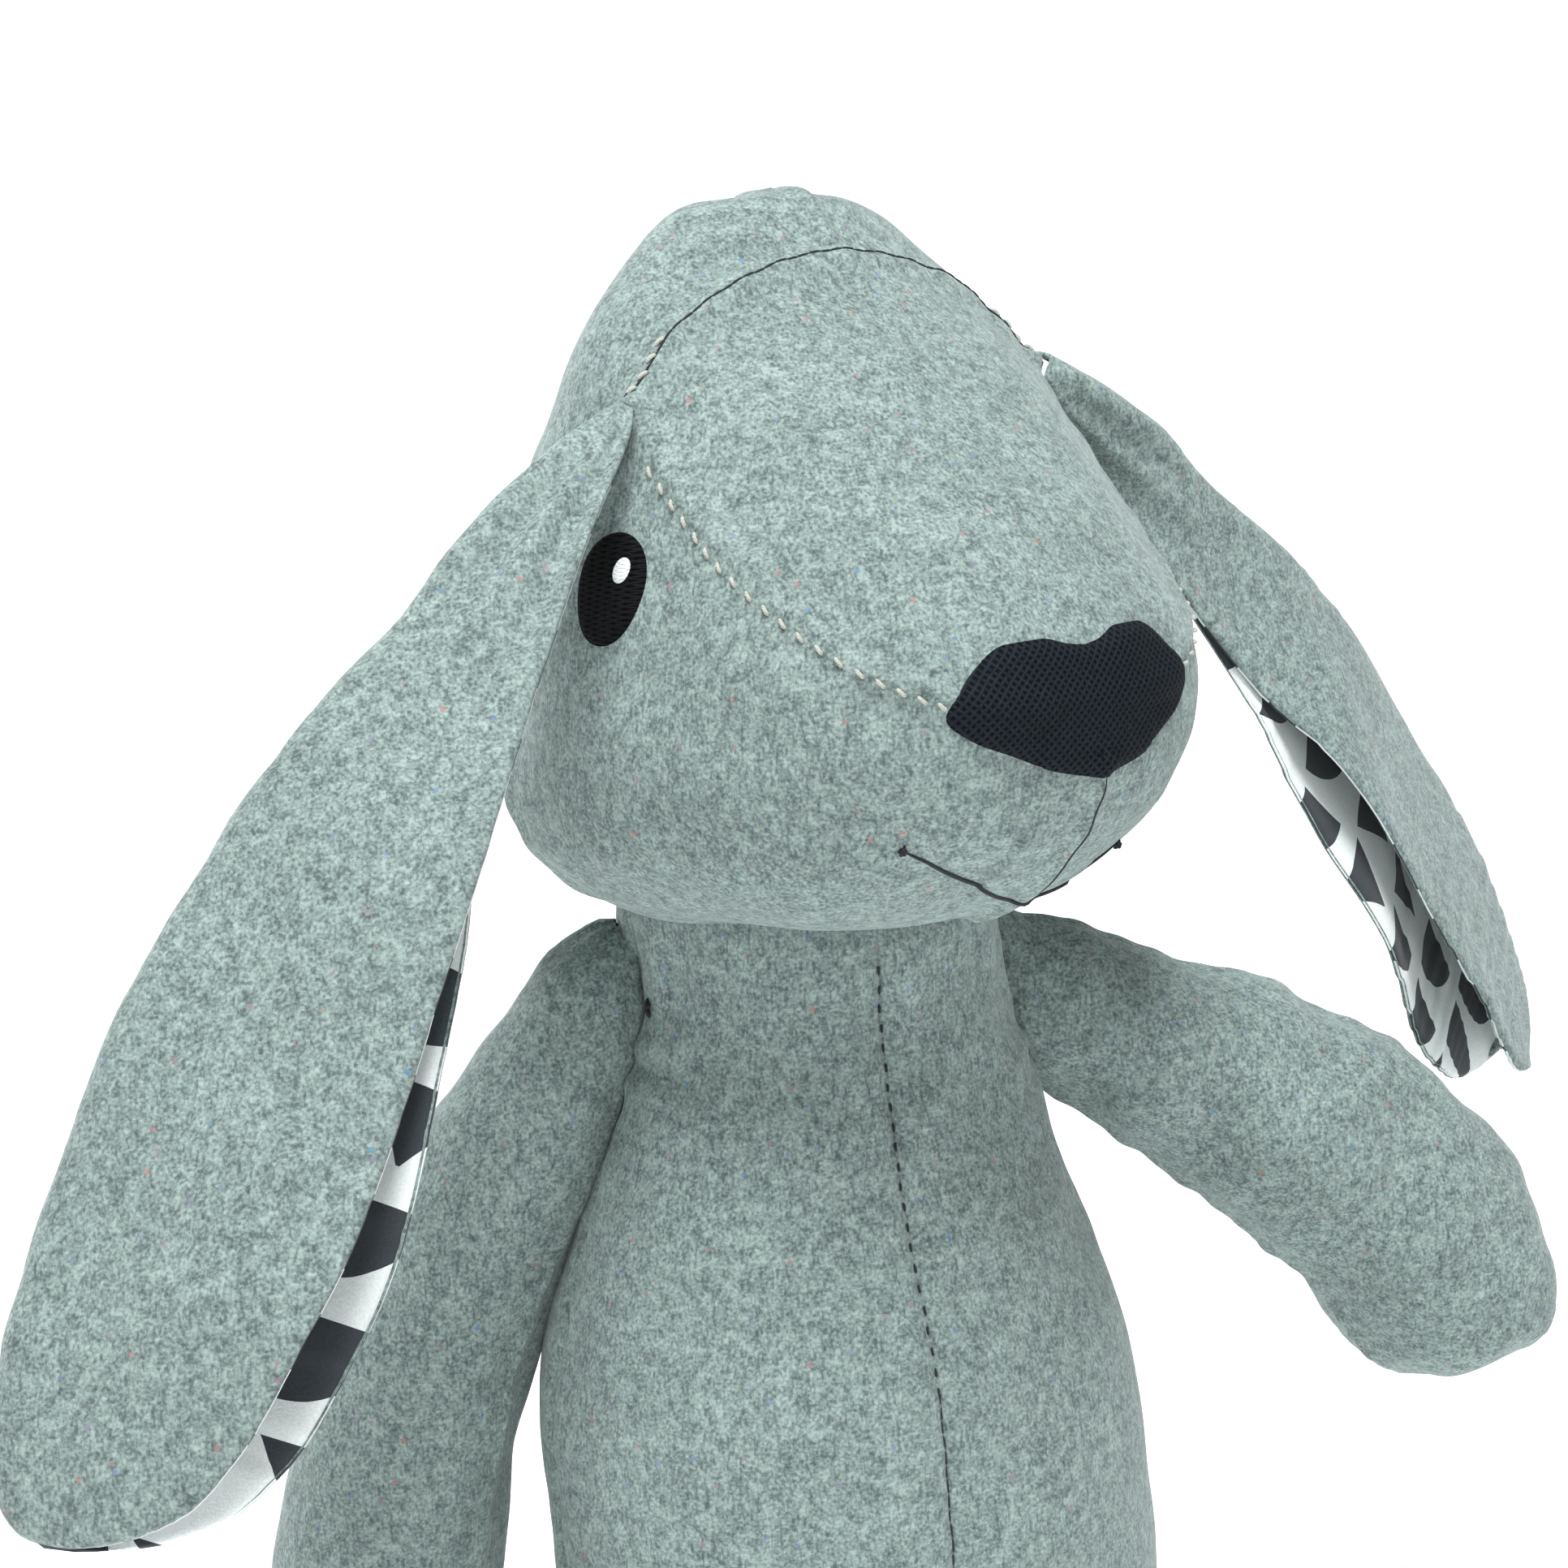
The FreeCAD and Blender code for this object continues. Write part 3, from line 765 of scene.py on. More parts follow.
@dataclass(frozen=True)
class HeadShape:
    """The stuffed egg in its own frame: X to the puppet's left, F forward, Z up, millimetres."""

    levels: Row = (-61.2, -60, -57.4, -51.4, -42, -30, -15, 3, 20, 34, 46, 55, 60.5, 63.6, 64.8)
    backs: Row = (-6, -24, -36, -50, -59.5, -63, -60.5, -56.5, -47, -36, -25.5, -19.5,
                                -18, -16.5, -9)
    fronts: Row = (10, 24, 36, 49.5, 59.5, 64, 63.5, 52.5, 37.5, 24.5, 12.5, 5, 1.8, -0.6, -5.5)
    halves: Row = (1, 21, 34.5, 47.5, 56, 58.5, 57, 54.4, 51.2, 46.4, 39.0, 30.3, 24.0, 16.5, 1)
    centre: tuple[float, float, float] = (0.0, 15.0, 229.0)
    turn: float = 18.0
    neck_level: float = 165.0
    neck_clear: float = 35.8

    def section(self, level: Array) -> tuple[Array, Array, Array]:
        """Middle, half depth and half width of the egg at each level."""
        backs, fronts = np.array(self.backs), np.array(self.fronts)
        middle = eased(level, self.levels, (backs + fronts) / 2)
        depth = np.sqrt(np.maximum(eased(level, self.levels, ((fronts - backs) / 2) ** 2), 0.01))
        width = np.sqrt(np.maximum(eased(level, self.levels, np.array(self.halves) ** 2), 0.01))
        return middle, depth, width

    def grid(self, rows: int, columns: int, inset: float = 0.0) -> Array:
        """Points of the egg from its foot to its crown, row by row."""
        rise = (1 - np.cos(np.linspace(0.0, math.pi, rows))) / 2
        level = self.levels[0] + (self.levels[-1] - self.levels[0]) * rise
        middle, depth, width = (part[:, None] for part in self.section(level))
        angle = turn_angles(columns)
        shrink = 1 - inset / 60
        points = np.stack([
            width * shrink * np.sin(angle),
            middle + depth * shrink * np.cos(angle),
            np.broadcast_to(level[:, None] * shrink, (rows, columns)),
        ], axis=-1)
        return points.reshape(-1, 3)

    @property
    def forward(self) -> Array:
        """Level direction the face looks along."""
        angle = math.radians(self.turn)
        return np.array((math.sin(angle), -math.cos(angle), 0.0))

    @property
    def left(self) -> Array:
        """Level direction to the puppet's left ear."""
        angle = math.radians(self.turn)
        return np.array((math.cos(angle), math.sin(angle), 0.0))

    def placed(self, points: Array) -> Array:
        """Points of the head's frame in the part's frame."""
        heart = self.forward * self.centre[1] + UP * self.centre[2]
        return heart + points[:, :1] * self.left + points[:, 1:2] * self.forward + points[:, 2:] * UP

    def socketed(self, points: Array, clear: float) -> Array:
        """Points in the part's frame, with a hollow where the neck goes in."""
        points = points.copy()
        reach = np.hypot(points[:, 0], points[:, 1])
        dome = self.neck_level + np.sqrt(np.maximum(clear ** 2 - reach ** 2, 0.0))
        inside = (reach < clear) & (points[:, 2] < dome)
        points[inside, 2] = dome[inside]
        return points


@dataclass(frozen=True)
class Oval:
    """An embroidered oval beside the head: its middle (forward, up), size and height, in millimetres."""

    what: str
    slot: Slot
    centre: Pair
    wide: float
    tall: float
    rise: float
    lean: float = 0.12
    beside: float = 55.0

    def outline(self, side: Side) -> Array:
        """Closed outline near the felt, its top leaning forward."""
        angle = np.linspace(0, TURN, 97)[:-1]
        out, high = self.wide / 2 * np.cos(angle), self.tall / 2 * np.sin(angle)
        return np.stack([
            np.full_like(angle, self.beside * side.value),
            self.centre[0] + out + self.lean * high,
            self.centre[1] + high,
        ], axis=1)


@dataclass
class Head:
    """The head: five felt panels, nose, eyes, smile and their threads."""

    wardrobe: Wardrobe
    shape: HeadShape = field(default_factory=HeadShape)
    rows: int = 230
    columns: int = 400
    groove: Groove = field(default_factory=Groove)
    crown: tuple[Pair, ...] = ((5, 31), (11, 90))
    muzzle: tuple[Pair, ...] = (
        (5, 31), (14, 19.4), (24.5, 8.7), (47.3, -11.6), (62, -21), (90, -21))
    nape: tuple[Pair, ...] = ((5, 31), (-14, 4), (-28, -25), (-25, -57), (-25, -90))
    panel_names: tuple[str, ...] = ("sewn_forehead", "sewn_cheek_left", "sewn_cheek_right",
                                    "sewn_head_back_left", "sewn_head_back_right")
    nose_half: tuple[Triple, ...] = (
        (0, 65, -12.4), (4, 65, -11.9), (10, 64, -10.4), (17, 62, -10.6), (23.5, 59, -14.6),
        (28.2, 57, -21.5), (25, 59, -25.5), (18, 62, -29.5), (9, 64, -33.4), (0, 65, -35))
    ovals: tuple[Oval, ...] = (Oval("eye", Slot.EYE, (6.0, 2.2), 15.6, 19.5, 1.1),
                               Oval("eye_glint", Slot.WHITE, (9.0, 5.0), 5.4, 6.4, 1.6))
    muzzle_seam: tuple[Triple, ...] = (
        (52.5, 12, 22), (52.5, 24.5, 8.7), (46, 40, -5.2), (37, 52, -14.8), (30, 60, -20))
    crown_half: tuple[Pair, ...] = (
        (49, 32), (45.5, 38), (40.5, 43.5), (28.6, 50), (12, 54), (0, 55))
    crown_tacks: tuple[Pair, ...] = ((50, 32), (46, 38), (41, 43))
    smile: tuple[Triple, ...] = (
        (-31, 48, -44), (-26, 50, -48.5), (-16, 49.5, -54.5), (0, 44, -58.5), (12, 44, -58),
        (20, 45, -56), (25, 45, -53))
    smile_knot: tuple[Triple, ...] = ((0, 0.7, 0.9), (0, 0.8, -0.7), (0.3, 0.9, 0.1))
    chin: tuple[Triple, ...] = ((0, 65, -34), (0, 62, -43), (0, 56, -50), (0, 48, -56))
    skin: Skin = field(init=False, repr=False)

    def build(self) -> None:
        """Builds and dresses the head."""
        whole = self.whole()
        self.skin = Skin(whole, self.heart)
        self.patches()
        self.threads()
        self.panels(whole)
        self.insides()

    @staticmethod
    def heart(points: Array) -> Array:
        """Inner points from which the felt near each point is looked for."""
        return np.array((0.0, 5.0, 0.0)) + points * (0, 0.1, 0.3)

    def whole(self) -> Piece:
        """The egg in the head's own frame, cut along its seams and dented there."""
        points = self.shape.grid(self.rows, self.columns)
        piece = new_piece("egg", points, grid_faces(self.rows, self.columns, True))
        self.cut(piece)
        points = points_of(piece)
        side_view = points[:, 1:]
        outward = normals_of(piece)
        front, level = points[:, 1], points[:, 2]
        crown = distance_to_line(side_view, self.crown)
        muzzle = distance_to_line(side_view, self.muzzle[:5])
        nape = distance_to_line(side_view, self.nape)
        middle = np.abs(points[:, 0])
        behind = (front < 5) & (level > -64)
        chin = (front > 30) & (level < -30)
        dip = self.groove.dip(crown, points[:, 0])
        dip += self.groove.dip(muzzle, front)
        dip += self.groove.dip(nape, level)
        dip += np.where(behind, self.groove.dip(middle, level), 0)
        dip += np.where(chin, self.groove.dip(middle, level), 0) * 1.2
        lumps = Lumps(11, 46.0, 0.9).at(points) + Lumps(12, 17.0, 0.28).at(points)
        cheeks = 1.8 * np.exp(-(((front - 40) / 22) ** 2 + ((level + 40) / 14) ** 2)) * (middle > 12)
        set_points(piece, points + outward * (lumps + cheeks - dip)[:, None])
        return piece

    def cut(self, piece: Piece) -> None:
        """Adds edges where the seams run."""
        lines = [self.crown]
        lines += list(zip(self.muzzle, self.muzzle[1:]))
        lines += list(zip(self.nape, self.nape[1:]))
        mesh = bmesh.new()
        mesh.from_mesh(piece.data)
        for start, end in lines:
            low = np.minimum(start, end) - 2.5
            high = np.maximum(start, end) + 2.5
            near = [face for face in mesh.faces
                    if all(low[k] <= face.calc_center_median()[k + 1] / MM <= high[k] for k in (0, 1))]
            geometry = {*near, *(e for f in near for e in f.edges), *(v for f in near for v in f.verts)}
            along = (end[0] - start[0], end[1] - start[1])
            bmesh.ops.bisect_plane(mesh, geom=list(geometry), dist=1e-6,
                                   plane_co=(0, start[0] * MM, start[1] * MM),
                                   plane_no=(0, -along[1], along[0]))
        mesh.to_mesh(piece.data)
        mesh.free()
        piece.data.polygons.foreach_set("use_smooth", [True] * len(piece.data.polygons))
        piece.data.update()

    def kind(self, middles: Array) -> Array:
        """Number of the panel at each place."""
        front, level = middles[:, 1], middles[:, 2]
        muzzle_f, muzzle_z = np.array(self.muzzle).T
        nape_f, nape_z = np.array(self.nape[::-1]).T
        (low_f, low_z), (high_f, high_z) = self.crown
        parting = np.interp(level, (low_z, high_z), (low_f, high_f))
        on_top = (front > parting) & (level > np.interp(front, muzzle_f, muzzle_z))
        behind = np.where(level > low_z, front < parting, front < np.interp(level, nape_z, nape_f))
        right = middles[:, 0] < 0
        return np.where(on_top, 0, np.where(behind, 3, 1) + right)

    def panels(self, whole: Piece) -> None:
        """Splits the egg into panels and sets them on the neck."""
        nodes = ("forehead", "cheek_left", "cheek_right", "head_back_left", "head_back_right")
        for (name, panel), node in zip(panels_of(whole, self.kind, self.panel_names).items(), nodes):
            self.settle_on_neck(panel)
            self.wardrobe.dress(panel, Slot.FELT)
            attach(panel, "head")
            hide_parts(node)
            LOG.info("%s: %d points", name, len(panel.data.vertices))

    def settle_on_neck(self, piece: Piece) -> None:
        """Moves a piece from the head's frame to the part's, hollowed over the neck."""
        placed = self.shape.placed(points_of(piece))
        set_points(piece, self.shape.socketed(placed, self.shape.neck_clear))

    def place(self, piece: Piece, slot: Slot, *nodes: str) -> Piece:
        """Dresses a face detail and puts it on the head."""
        set_points(piece, self.shape.placed(points_of(piece)))
        self.wardrobe.dress(piece, slot)
        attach(piece, "head")
        if nodes:
            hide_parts(*nodes)
        return piece

    def patch(self, name: str, outline: Array, height: float, spread: float,
              rings: int = 22) -> Piece:
        """A thin raised patch with a rounded edge.

        Args:
            name: the piece's name.
            outline: closed outline near the felt, in the head's frame.
            height: how high the middle stands.
            spread: how wide the rounded edge is.
            rings: number of rings of faces.

        Returns:
            The patch as one piece.
        """
        middle = outline.mean(axis=0)
        shares = np.sin(np.linspace(0, 1, rings + 1)[1:] * math.pi / 2)
        rows = [np.repeat(middle[None], len(outline), axis=0)]
        rows += [middle + (outline - middle) * share for share in shares]
        span = np.linalg.norm(outline - middle, axis=1)
        heights = [np.full(len(outline), height)]
        heights += [height * (1 - np.exp(-(((1 - share) * span) / spread) ** 1.4)) - 0.25 * share ** 8
                    for share in shares]
        placed, _ = self.skin.lift(np.concatenate(rows), np.concatenate(heights))
        return new_piece(name, placed, grid_faces(rings + 1, len(outline), True))

    def patches(self) -> None:
        """Nose, eyes and their highlights."""
        half = np.array(self.nose_half)
        mirrored = half[1:-1][::-1] * (-1, 1, 1)
        ring = np.concatenate((half, mirrored, half[:1]))
        nose = self.patch("woven_nose", resampled(ring, 1.2)[:-1], 1.7, 2.2)
        self.place(nose, Slot.NOSE, "nose")
        for side in Side:
            for oval in self.ovals:
                name = f"{oval.what}_{side.word}"
                piece = self.patch(f"stitched_{name}", oval.outline(side), oval.rise, 0.9, 14)
                self.place(piece, oval.slot, name)
        LOG.info("nose and eyes sewn on")

    def threads(self) -> None:
        """Muzzle, crown and smile threads."""
        cream = Thread(0.36, 0.4)
        dark = Thread(0.2, 0.1)
        for side in Side:
            muzzle = np.array(self.muzzle_seam) * (side.value, 1, 1)
            stitches = self.skin.seam(f"muzzle_stitches_{side.word}", muzzle, cream, 3.9, 1.9, slant=0.35)
            self.place(stitches, Slot.CREAM, f"face_stitches_{side.word}")
        across = [(-x, z) for x, z in self.crown_half] + list(self.crown_half[-2::-1])
        crown = [(x, 5.0 + 0.1017 * (z - 31), z) for x, z in across]
        self.place(self.skin.seam("crown_thread", crown, dark, 2.6, 2.7), Slot.DARK)
        for side in Side:
            few = [(side.value * x, 5.6, z) for x, z in self.crown_tacks]
            tacks = self.skin.seam(f"crown_stitches_{side.word}", few, cream, 3.9, 2.0, slant=0.5)
            self.place(tacks, Slot.CREAM)
        smile = np.array(self.smile)
        line, facing = self.skin.lift(resampled(smile, 1.0), 0.15)
        self.place(Thread(0.38).run("smile", line, facing), Slot.DARK, "smile_thread")
        for side, end in ((Side.RIGHT, smile[:1]), (Side.LEFT, smile[-1:])):
            spot, out = self.skin.lift(end, 0.1)
            knot = Thread(0.36, 0.5).knot(f"smile_knot_{side.word}", spot[0], out[0], self.smile_knot)
            self.place(knot, Slot.DARK)
        chin, facing = self.skin.lift(resampled(np.array(self.chin), 1.0), 0.02)
        self.place(Thread(0.16).run("chin_thread", chin, facing), Slot.DARK)
        LOG.info("face threads sewn")

    def insides(self) -> None:
        """Filling of the head and the finger pocket in it."""
        rows, columns = 60, 80
        points = self.shape.placed(self.shape.grid(rows, columns, 5.0))
        points = self.shape.socketed(points + UP * 1.5, 38.0)
        filling = new_piece("head_filling", points, grid_faces(rows, columns, True))
        self.wardrobe.dress(filling, Slot.FILLING)
        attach(filling, "head")
        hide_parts("head_stuffing")
        low, high = (np.array(corner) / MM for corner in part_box("finger_pocket"))
        middle, radius = (low + high) / 2, (high[0] - low[0]) / 2 - 0.3
        straight, domed, columns, shoulder = 30, 8, 64, high[2] - 6
        dome = 5.5 * np.sin(np.linspace(0.1, 1, domed) * math.pi / 2)
        up = np.concatenate((np.linspace(low[2], shoulder, straight), shoulder + dome))
        wide = np.concatenate((np.full(straight, 1.0), np.cos(np.linspace(0.1, 0.98, domed) * math.pi / 2)))
        angle = turn_angles(columns)
        ripple = 1 + 0.02 * np.sin(5 * angle)
        ring = np.stack([np.cos(angle) * ripple, np.sin(angle) * ripple], axis=1)
        grid = np.array([[(middle[0] + radius * share * x, middle[1] + radius * share * y, z)
                          for x, y in ring] for z, share in zip(up, wide)])
        pocket = new_piece("sewn_finger_pocket", grid.reshape(-1, 3), grid_faces(len(up), columns, True))
        thickened(pocket, 1.2)
        self.wardrobe.dress(pocket, Slot.FELT)
        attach(pocket, "head")
        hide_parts("finger_pocket")


# ------------------------------------------------------------------ sleeve


@dataclass
class Sleeve:
    """The hand sleeve: four felt panels from the hem up over the neck."""

    wardrobe: Wardrobe
    levels: Row = (0, 40, 81, 100, 112, 125, 136, 150, 158, 165, 172, 180, 187, 191, 193)
    halves: Row = (57, 56.5, 55, 51, 47.5, 43, 39.3, 35.4, 34.2, 33.8, 33.2, 30.4, 25.7,
                                 21.8, 19.2)
    ratio_levels: Row = (0, 100, 150, 165, 193)
    ratios: Row = (0.84, 0.84, 0.92, 1.0, 1.0)
    rows: int = 190
    columns: int = 360
    thickness: float = 1.6
    groove: Groove = field(default_factory=lambda: Groove(1.2, 1.7, 0.2, 5.0, 8.0))
    arm_roots: tuple[Triple, ...] = ((42, -6, 140), (-42, -4, 146))
    shoulder_knot: tuple[Triple, ...] = ((0.3, 0.8, 1.4), (0.2, 1.3, -0.8), (0.1, 0.2, 1.8))
    skin: Skin = field(init=False, repr=False)

    def point(self, level: Array, angle: Array, inset: float = 0.0) -> Array:
        """Points of the sleeve at a level and an angle from +X."""
        half = eased(level, self.levels, self.halves) - inset
        ratio = eased(level, self.ratio_levels, self.ratios)
        across = half * np.cos(angle)
        through = half * ratio * np.sin(angle)
        return np.stack([across, through, np.broadcast_to(level, across.shape)], axis=-1)

    def build(self) -> None:
        """Builds and dresses the sleeve."""
        whole = self.whole()
        self.skin = Skin(whole, lambda points: points * (0, 0, 1))
        self.threads()
        self.panels(whole)
        self.hem()
        self.neck_lining()

    def whole(self) -> Piece:
        """The whole sleeve with its seams, folds and lumps."""
        run = np.linspace(0, 1, self.rows)
        level = self.levels[-1] * (0.86 * run + 0.14 * np.sin(run * math.pi / 2))
        angle = turn_angles(self.columns)
        points = self.point(level[:, None], angle[None, :]).reshape(-1, 3)
        piece = new_piece("sleeve_form", points, grid_faces(self.rows, self.columns, True))
        outward = normals_of(piece)
        x, y, z = points.T
        fade = np.clip((178 - z) / 20, 0, 1)
        dip = (self.groove.dip(np.abs(x), z) + self.groove.dip(np.abs(y), z)) * fade
        lumps = (Lumps(21, 60.0, 1.1).at(points) + Lumps(22, 20.0, 0.3).at(points)) * fade
        around = np.arctan2(y, x)
        folds = self.folds(around, z)
        pulls = sum(self.pull(points, root) for root in self.arm_roots)
        gather = 0.5 * np.sin(around * 17 + 1.0) * np.exp(-(((z - 160) / 8) ** 2))
        set_points(piece, points + outward * (lumps + folds + pulls + gather - dip)[:, None])
        return piece

    @staticmethod
    def folds(around: Array, level: Array) -> Array:
        """Slow folds of the loose felt, deepest at the hem."""
        return 1.3 * np.sin(around * 5 + 0.8 + level / 60) * np.clip(1 - level / 90, 0, 1)

    @staticmethod
    def pull(points: Array, root: Triple) -> Array:
        """Creases that run from an arm's seam across the felt."""
        away = points - np.array(root)
        distance = np.linalg.norm(away, axis=1)
        bearing = np.arctan2(away[:, 2], away[:, 0])
        return 0.8 * np.sin(bearing * 6 + 0.5) * np.exp(-distance / 16) * np.clip(distance / 6, 0, 1)

    def blended(self, piece: Piece) -> None:
        """Bakes the piece's placement into its points."""
        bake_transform(piece)

    def panels(self, whole: Piece) -> None:
        """Splits the sleeve into its four panels."""
        names = ("sewn_front_left", "sewn_front_right", "sewn_back_left", "sewn_back_right")
        nodes = ("body_front_left", "body_front_right", "body_back_left", "body_back_right")
        found = panels_of(whole, lambda middles: 2 * (middles[:, 1] > 0) + (middles[:, 0] < 0), names)
        for (name, panel), node in zip(found.items(), nodes):
            thickened(panel, self.thickness)
            self.wardrobe.dress(panel, Slot.FELT)
            self.blended(panel)
            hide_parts(node)
            LOG.info("%s: %d points", name, len(panel.data.vertices))

    def threads(self) -> None:
        """Chest seam stitches and the knots at the shoulders."""
        chest = [(0, -40, z) for z in (160, 145, 130, 115, 100, 88)]
        stitches = self.skin.seam("chest_seam", chest, Thread(0.23, 0.2), 3.5, 1.6)
        self.wardrobe.dress(stitches, Slot.DARK)
        self.blended(stitches)
        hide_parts("chest_stitches")
        lower = [(0, -40, z) for z in (87, 60, 30, 4)]
        plain = self.skin.seam("chest_seam_lower", lower, Thread(0.18, 0.05), 2.6, 2.5)
        self.wardrobe.dress(plain, Slot.DARK)
        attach(plain, "sleeve")
        for side in Side:
            spot, out = self.skin.lift(np.array([(side.value * 39.0, -6.0, 154.0)]), 0.1)
            knot = Thread(0.4, 0.5).knot(f"shoulder_knot_{side.word}", spot[0], out[0], self.shoulder_knot)
            self.wardrobe.dress(knot, Slot.DARK)
            self.blended(knot)
        hem = Thread(0.4, 0.4)
        ring = [(70 * math.cos(t), 70 * math.sin(t), 14.0) for t in np.linspace(0, TURN, 61)]
        tacks = self.skin.seam("hem_tacks", ring, hem, 9.0, 2.2)
        self.wardrobe.dress(tacks, Slot.CREAM)
        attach(tacks, "sleeve")

    def hem(self) -> None:
        """The felt turned up inside the opening."""
        rows, columns, top = 24, 240, 18.5
        level = np.linspace(0.8, top, rows)[:, None]
        angle = turn_angles(columns)[None, :]
        points = self.point(level, angle, 2.2)
        around = np.broadcast_to(angle, points.shape[:2])
        outward = np.stack([np.cos(around), np.sin(around), 0 * around], axis=-1)
        wave = 0.3 * np.sin(around * 23) * (level / top)
        shaped = points + outward * (self.folds(around, level) - 0.4 + wave)[..., None]
        band = new_piece("turned_hem", shaped.reshape(-1, 3), grid_faces(rows, columns, True))
        thickened(band, 1.3)
        self.wardrobe.dress(band, Slot.FELT)
        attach(band, "sleeve")
        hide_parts("hem_band")

    def neck_lining(self) -> None:
        """The cloth dome inside the neck, round the finger hole."""
        rows, columns, radius, centre = 30, 120, 31.6, 165
        tilt = np.linspace(-0.35, math.acos(19.4 / 32.0), rows)
        grid = np.array([[(radius * math.cos(t) * math.cos(a), radius * math.cos(t) * math.sin(a),
                           centre + radius * math.sin(t)) for a in turn_angles(columns)] for t in tilt])
        lining = new_piece("neck_lining", grid.reshape(-1, 3), grid_faces(rows, columns, True))
        thickened(lining, 0.9)
        self.wardrobe.dress(lining, Slot.FELT)
        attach(lining, "neck")
        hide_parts("neck_band")


# ------------------------------------------------------------------ limbs


@dataclass(frozen=True)
class LimbPath:
    """Middle line of a hanging limb; leans are degrees from straight down, along azimuth."""

    root: Triple
    azimuth: float
    leans: Row
    length: float
    roll: float = 0.0

    def frames(self, count: int) -> tuple[Array, Array, Array, Array]:
        """Points, tangents, side and outward directions along the limb."""
        share = np.linspace(0, 1, count)
        steps = (np.arange(len(self.leans)) + 0.5) / len(self.leans)
        lean = np.radians(eased(share, steps, self.leans))
        out = plan_direction(self.azimuth)
        tangent = np.sin(lean)[:, None] * out - np.cos(lean)[:, None] * UP
        move = (tangent[1:] + tangent[:-1]) / 2 * self.length / (count - 1)
        points = np.array(self.root) + np.concatenate((np.zeros((1, 3)), np.cumsum(move, axis=0)))
        level = np.repeat(unit(np.cross(UP, out))[None], count, axis=0)
        rise = np.cross(level, tangent)
        turn = math.radians(self.roll)
        side = level * math.cos(turn) + rise * math.sin(turn)
        return points, tangent, side, np.cross(side, tangent)


@dataclass
class Arm:
    """A soft arm: front and back felt over its stuffing."""

    wardrobe: Wardrobe
    side: Side
    path: LimbPath
    across: Row
    through: Row
    seed: int
    rows: int = 120
    columns: int = 112
    knots: Row = (0, 0.08, 0.25, 0.45, 0.65, 0.83, 0.93, 0.985, 1.0)

    def form(self, rows: int, columns: int, inset: float = 0.0) -> tuple[Array, Array, Array]:
        """Points, share along and angle of the arm's surface."""
        run = np.linspace(0, 1, rows)
        share = 0.75 * run + 0.25 * np.sin(run * math.pi / 2)
        points, _, side, out = self.path.frames(400)
        pick = np.clip((share * 399).astype(int), 0, 399)
        points, side, out = points[pick], side[pick], out[pick]
        across = np.sqrt(eased(share, self.knots, np.array(self.across) ** 2)) - inset
        through = np.sqrt(eased(share, self.knots, np.array(self.through) ** 2)) - inset
        angle = turn_angles(columns)
        across, through = np.maximum(across, 0.4)[:, None, None], np.maximum(through, 0.4)[:, None, None]
        grid = (points[:, None] + np.cos(angle)[None, :, None] * side[:, None] * across
                + np.sin(angle)[None, :, None] * out[:, None] * through)
        return grid.reshape(-1, 3), np.repeat(share, columns), np.tile(angle, rows)

    def build(self) -> None:
        """Builds and dresses the arm."""
        points, share, angle = self.form(self.rows, self.columns)
        piece = new_piece("arm_form", points, grid_faces(self.rows, self.columns, True))
        seam = np.abs(np.cos(angle))
        puffed(piece, np.flatnonzero((seam < 0.02) | (share < 0.012) | (share > 0.995)), 3.0, 3.0)
        points = points_of(piece)
        outward = normals_of(piece)
        centres = points.reshape(self.rows, self.columns, 3).mean(axis=1).repeat(self.columns, axis=0)
        radius = np.linalg.norm(points - centres, axis=1)
        run = share * self.path.length
        dip = Groove(0.8, 1.6, 0.16, 4.0, 8.5).dip(seam * radius, run)
        creases = (0.9 * np.sin(share * 34 + 2 * np.sin(angle)) * np.exp(-(((share - 0.5) / 0.22) ** 2))
                   * np.clip(-np.sin(angle), 0, 1))
        lumps = Lumps(self.seed, 26.0, 0.7).at(points) + Lumps(self.seed + 1, 12.0, 0.25).at(points)
        pleats = 0.35 * np.sin(angle * 8) * np.exp(-share / 0.06)
        before_tip = np.clip((1 - share) / 0.02, 0, 1)
        set_points(piece, points + outward * ((lumps + creases + pleats - dip) * before_tip)[:, None])
        word = self.side.word
        line, _, sides, _ = self.path.frames(200)
        away = sides * np.sign(sides[0, 1])

        def kind(middles: Array) -> Array:
            """Front or back by the side of the arm's middle plane."""
            nearest = np.argmin(((middles[:, None] - line[None]) ** 2).sum(axis=2), axis=1)
            return (((middles - line[nearest]) * away[nearest]).sum(axis=1) > 0).astype(int)

        names = (f"sewn_arm_front_{word}", f"sewn_arm_back_{word}")
        for name, panel in panels_of(piece, kind, names).items():
            self.wardrobe.dress(panel, Slot.FELT)
            self.blended(panel)
            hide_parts(f"arm_{'front' if 'front' in name else 'back'}_{word}")
        rows, columns = 40, 32
        points, _, _ = self.form(rows, columns, 3.0)
        filling = new_piece(f"arm_filling_{word}", points, grid_faces(rows, columns, True))
        self.wardrobe.dress(filling, Slot.FILLING)
        self.blended(filling)
        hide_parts(f"arm_stuffing_{word}")
        LOG.info("arm %s sewn", word)

    def blended(self, piece: Piece) -> None:
        """Bakes the piece's placement into its points."""
        points, _, _, _ = self.path.frames(100)
        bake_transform(piece)


